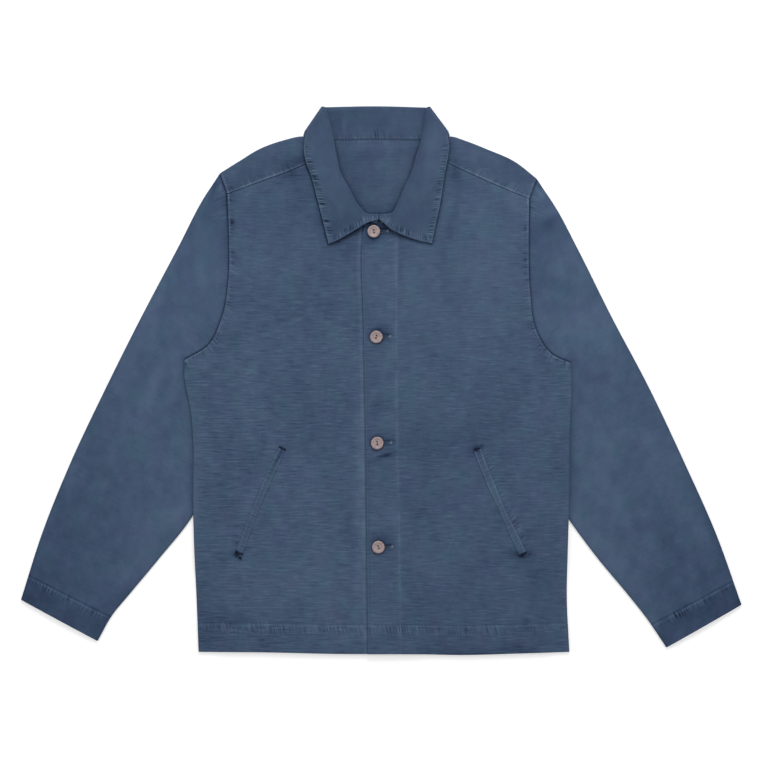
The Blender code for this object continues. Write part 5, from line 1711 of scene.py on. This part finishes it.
buttonhole = {
    "from": 2 * mm,  # both ends, to the left of the button's middle
    "to": 19 * mm,
    "half": 1.9 * mm,
    "stitches": 44,
    "stitchRadius": 0.3 * mm,
    "stitchLift": 0.1 * mm,
    "innerEnd": 1.2 * mm,  # how far the slit's satin stitches reach in at its ends, and their rest beside it
    "innerHalf": 0.45 * mm,
    "slitEnd": 1 * mm,
    "slitLift": 0.06 * mm,
    "slitRadius": 0.35 * mm,
    "barHalf": 2.2 * mm,
    "barAt": (0.6 * mm, 0.5 * mm),
    "barRows": 5,
}


def makeButtonholes():
    # worked holes level with the buttons: a near-black tube as the painted shadow of the slit, satin
    # stitches round it and a bar at its outer end
    parts, slits, ends = [], [], []
    surface = frontTop("left")
    radius = buttonhole["stitchRadius"]
    angle = np.linspace(0, 2 * np.pi, buttonhole["stitches"], endpoint=False)
    t = np.linspace(-1, 1, 15)
    barRows = np.linspace(-1.1, 1.1, buttonhole["barRows"])[:, None] * mm * [1, 0]
    for x, y in np.array(button["spots"]) * mm:
        x0, x1 = x + buttonhole["from"], x + buttonhole["to"]
        middle, half = (x0 + x1) / 2, (x1 - x0) / 2
        inner = np.column_stack([middle + (half - buttonhole["innerEnd"]) * np.cos(angle),
                                 y + buttonhole["innerHalf"] * np.sin(angle)])
        outer = np.column_stack([middle + half * np.cos(angle), y + buttonhole["half"] * np.sin(angle)])
        z = surface(*((inner + outer) / 2).T) + buttonhole["stitchLift"]
        parts.append(bars(inner, outer, z, z - 0.05 * mm, radius))
        slitX, slitY = middle + (half - buttonhole["slitEnd"]) * t, y + 0 * t
        line = np.column_stack([slitX, slitY, surface(slitX, slitY) + buttonhole["slitLift"]])
        slits.append(tube(line, buttonhole["slitRadius"] * np.sqrt(np.clip(1 - t ** 2, 0.02, 1))))
        bar = buttonhole["barAt"] + np.array([x1, y]) + barRows
        reach = [0, buttonhole["barHalf"]]
        ends.append(raisedBars(bar - reach, bar + reach, surface, 0.3 * mm, radius))
    simpleMesh("buttonholeStitches", *joinParts(parts), paleCotton)
    simpleMesh("buttonholeBars", *joinParts(ends), paleThread)
    simpleMesh("buttonholeSlits", *joinParts(slits), slitShadow)


def makeStitches():
    # the rows of topstitching on the fronts: beside the armhole, at the hem, and on the upper front also
    # down the placket and beside its edge
    for hand in hands:
        surface = frontTop(hand)
        armholeRow = offsetLine(edge("armhole", hand, 120), handSign[hand] * thread["fromArmhole"])[4:-4]
        hemLine = edge("hem", steps=120) + [0, front["hemDepth"]]
        limit = outline["centreEdge"]["left"][0][0] * mm
        ends = (hemLine[:, 0] < limit - 2 * mm) if hand == "right" else (hemLine[:, 0] > limit + 2 * mm)
        rows = [stitchRow(armholeRow, surface, 201), stitchRow(hemLine[ends][2:-2], surface, 202)]
        if hand == "left":
            rows.append(stitchRow(fineLine(front["placketLine"], 80), surface, 203))
            centre = offsetLine(edge("centreEdge", "left", 120), -thread["fromEdge"])[2:-2]
            rows.append(stitchRow(centre, surface, 204))
        simpleMesh(hand + "FrontStitches", *joinParts(rows), threadCotton)


studio = {
    "lights": [("keyLight", (0.2, 2.1, 1.5), 0.9, 30), ("leftLight", (-2.0, 0.3, 1.5), 1.4, 10),
               ("rightLight", (2.0, 0.2, 1.5), 1.4, 8)],
    "lens": 90,
    "sensor": 36,
    "centre": (0.0035, -0.0049),
    "view": 1.0752,
    "viewHeight": 0.004,
    "clip": 20,
    "floorHalf": 6,
    "floorHeight": -0.0004,
    "floor": {"Base Color": (0.9, 0.9, 0.9, 1), "Roughness": 1, "Specular IOR Level": 0,
              "Emission Color": (1, 1, 1, 1)},
    "floorGlow": 0.35,
    "sky": {"Color": (1, 1, 1, 1), "Strength": 0.46},
}


def makeStage():
    # a white floor that keeps shadows, soft lights and a long lens straight above
    half, height = studio["floorHalf"], studio["floorHeight"]
    mesh = bpy.data.meshes.new("floor")
    mesh.from_pydata([(x * half, y * half, height) for x, y in ((-1, -1), (1, -1), (1, 1), (-1, 1))], [],
                     [(0, 1, 2, 3)])
    made, tree, shader = newMaterial("floorWhite")
    camRay = addNode(tree, "ShaderNodeLightPath").outputs["Is Camera Ray"]
    feed(tree, shader, studio["floor"])
    feed(tree, shader, {"Emission Strength": calc(tree, "MULTIPLY", camRay, studio["floorGlow"])})
    mesh.materials.append(made)
    newObject("floor", mesh)
    scene = bpy.context.scene
    scene.world = bpy.data.worlds.new("studio")
    scene.world.use_nodes = True
    feed(scene.world.node_tree, scene.world.node_tree.nodes["Background"], studio["sky"])
    for name, place, size, power in studio["lights"]:
        light = bpy.data.lights.new(name, "AREA")
        light.shape = "SQUARE"
        light.size = size
        light.energy = power
        lamp = newObject(name, light)
        lamp.location = place
        lamp.rotation_euler = mathutils.Vector(-np.array(place)).to_track_quat("-Z", "Y").to_euler()
    camera = newObject("camera", bpy.data.cameras.new("camera"))
    camera.data.lens = studio["lens"]
    camera.data.clip_end = studio["clip"]
    height = studio["view"] * studio["lens"] / studio["sensor"] + studio["viewHeight"]
    camera.location = (*studio["centre"], height)
    scene.camera = camera
    scene.view_settings.view_transform = "Standard"


for hand in hands:
    makeSleeve(hand)
print("sleeves ready")
makeBack()
print("back ready")
for hand in hands:
    makeFront(hand)
print("fronts ready")
makeCollar()
print("collar ready")
for hand in hands:
    makeWelt(hand)
for number in range(len(button["spots"])):
    makeButton(number)
makeButtonholes()
makeStitches()
print("trims ready")
makeStage()
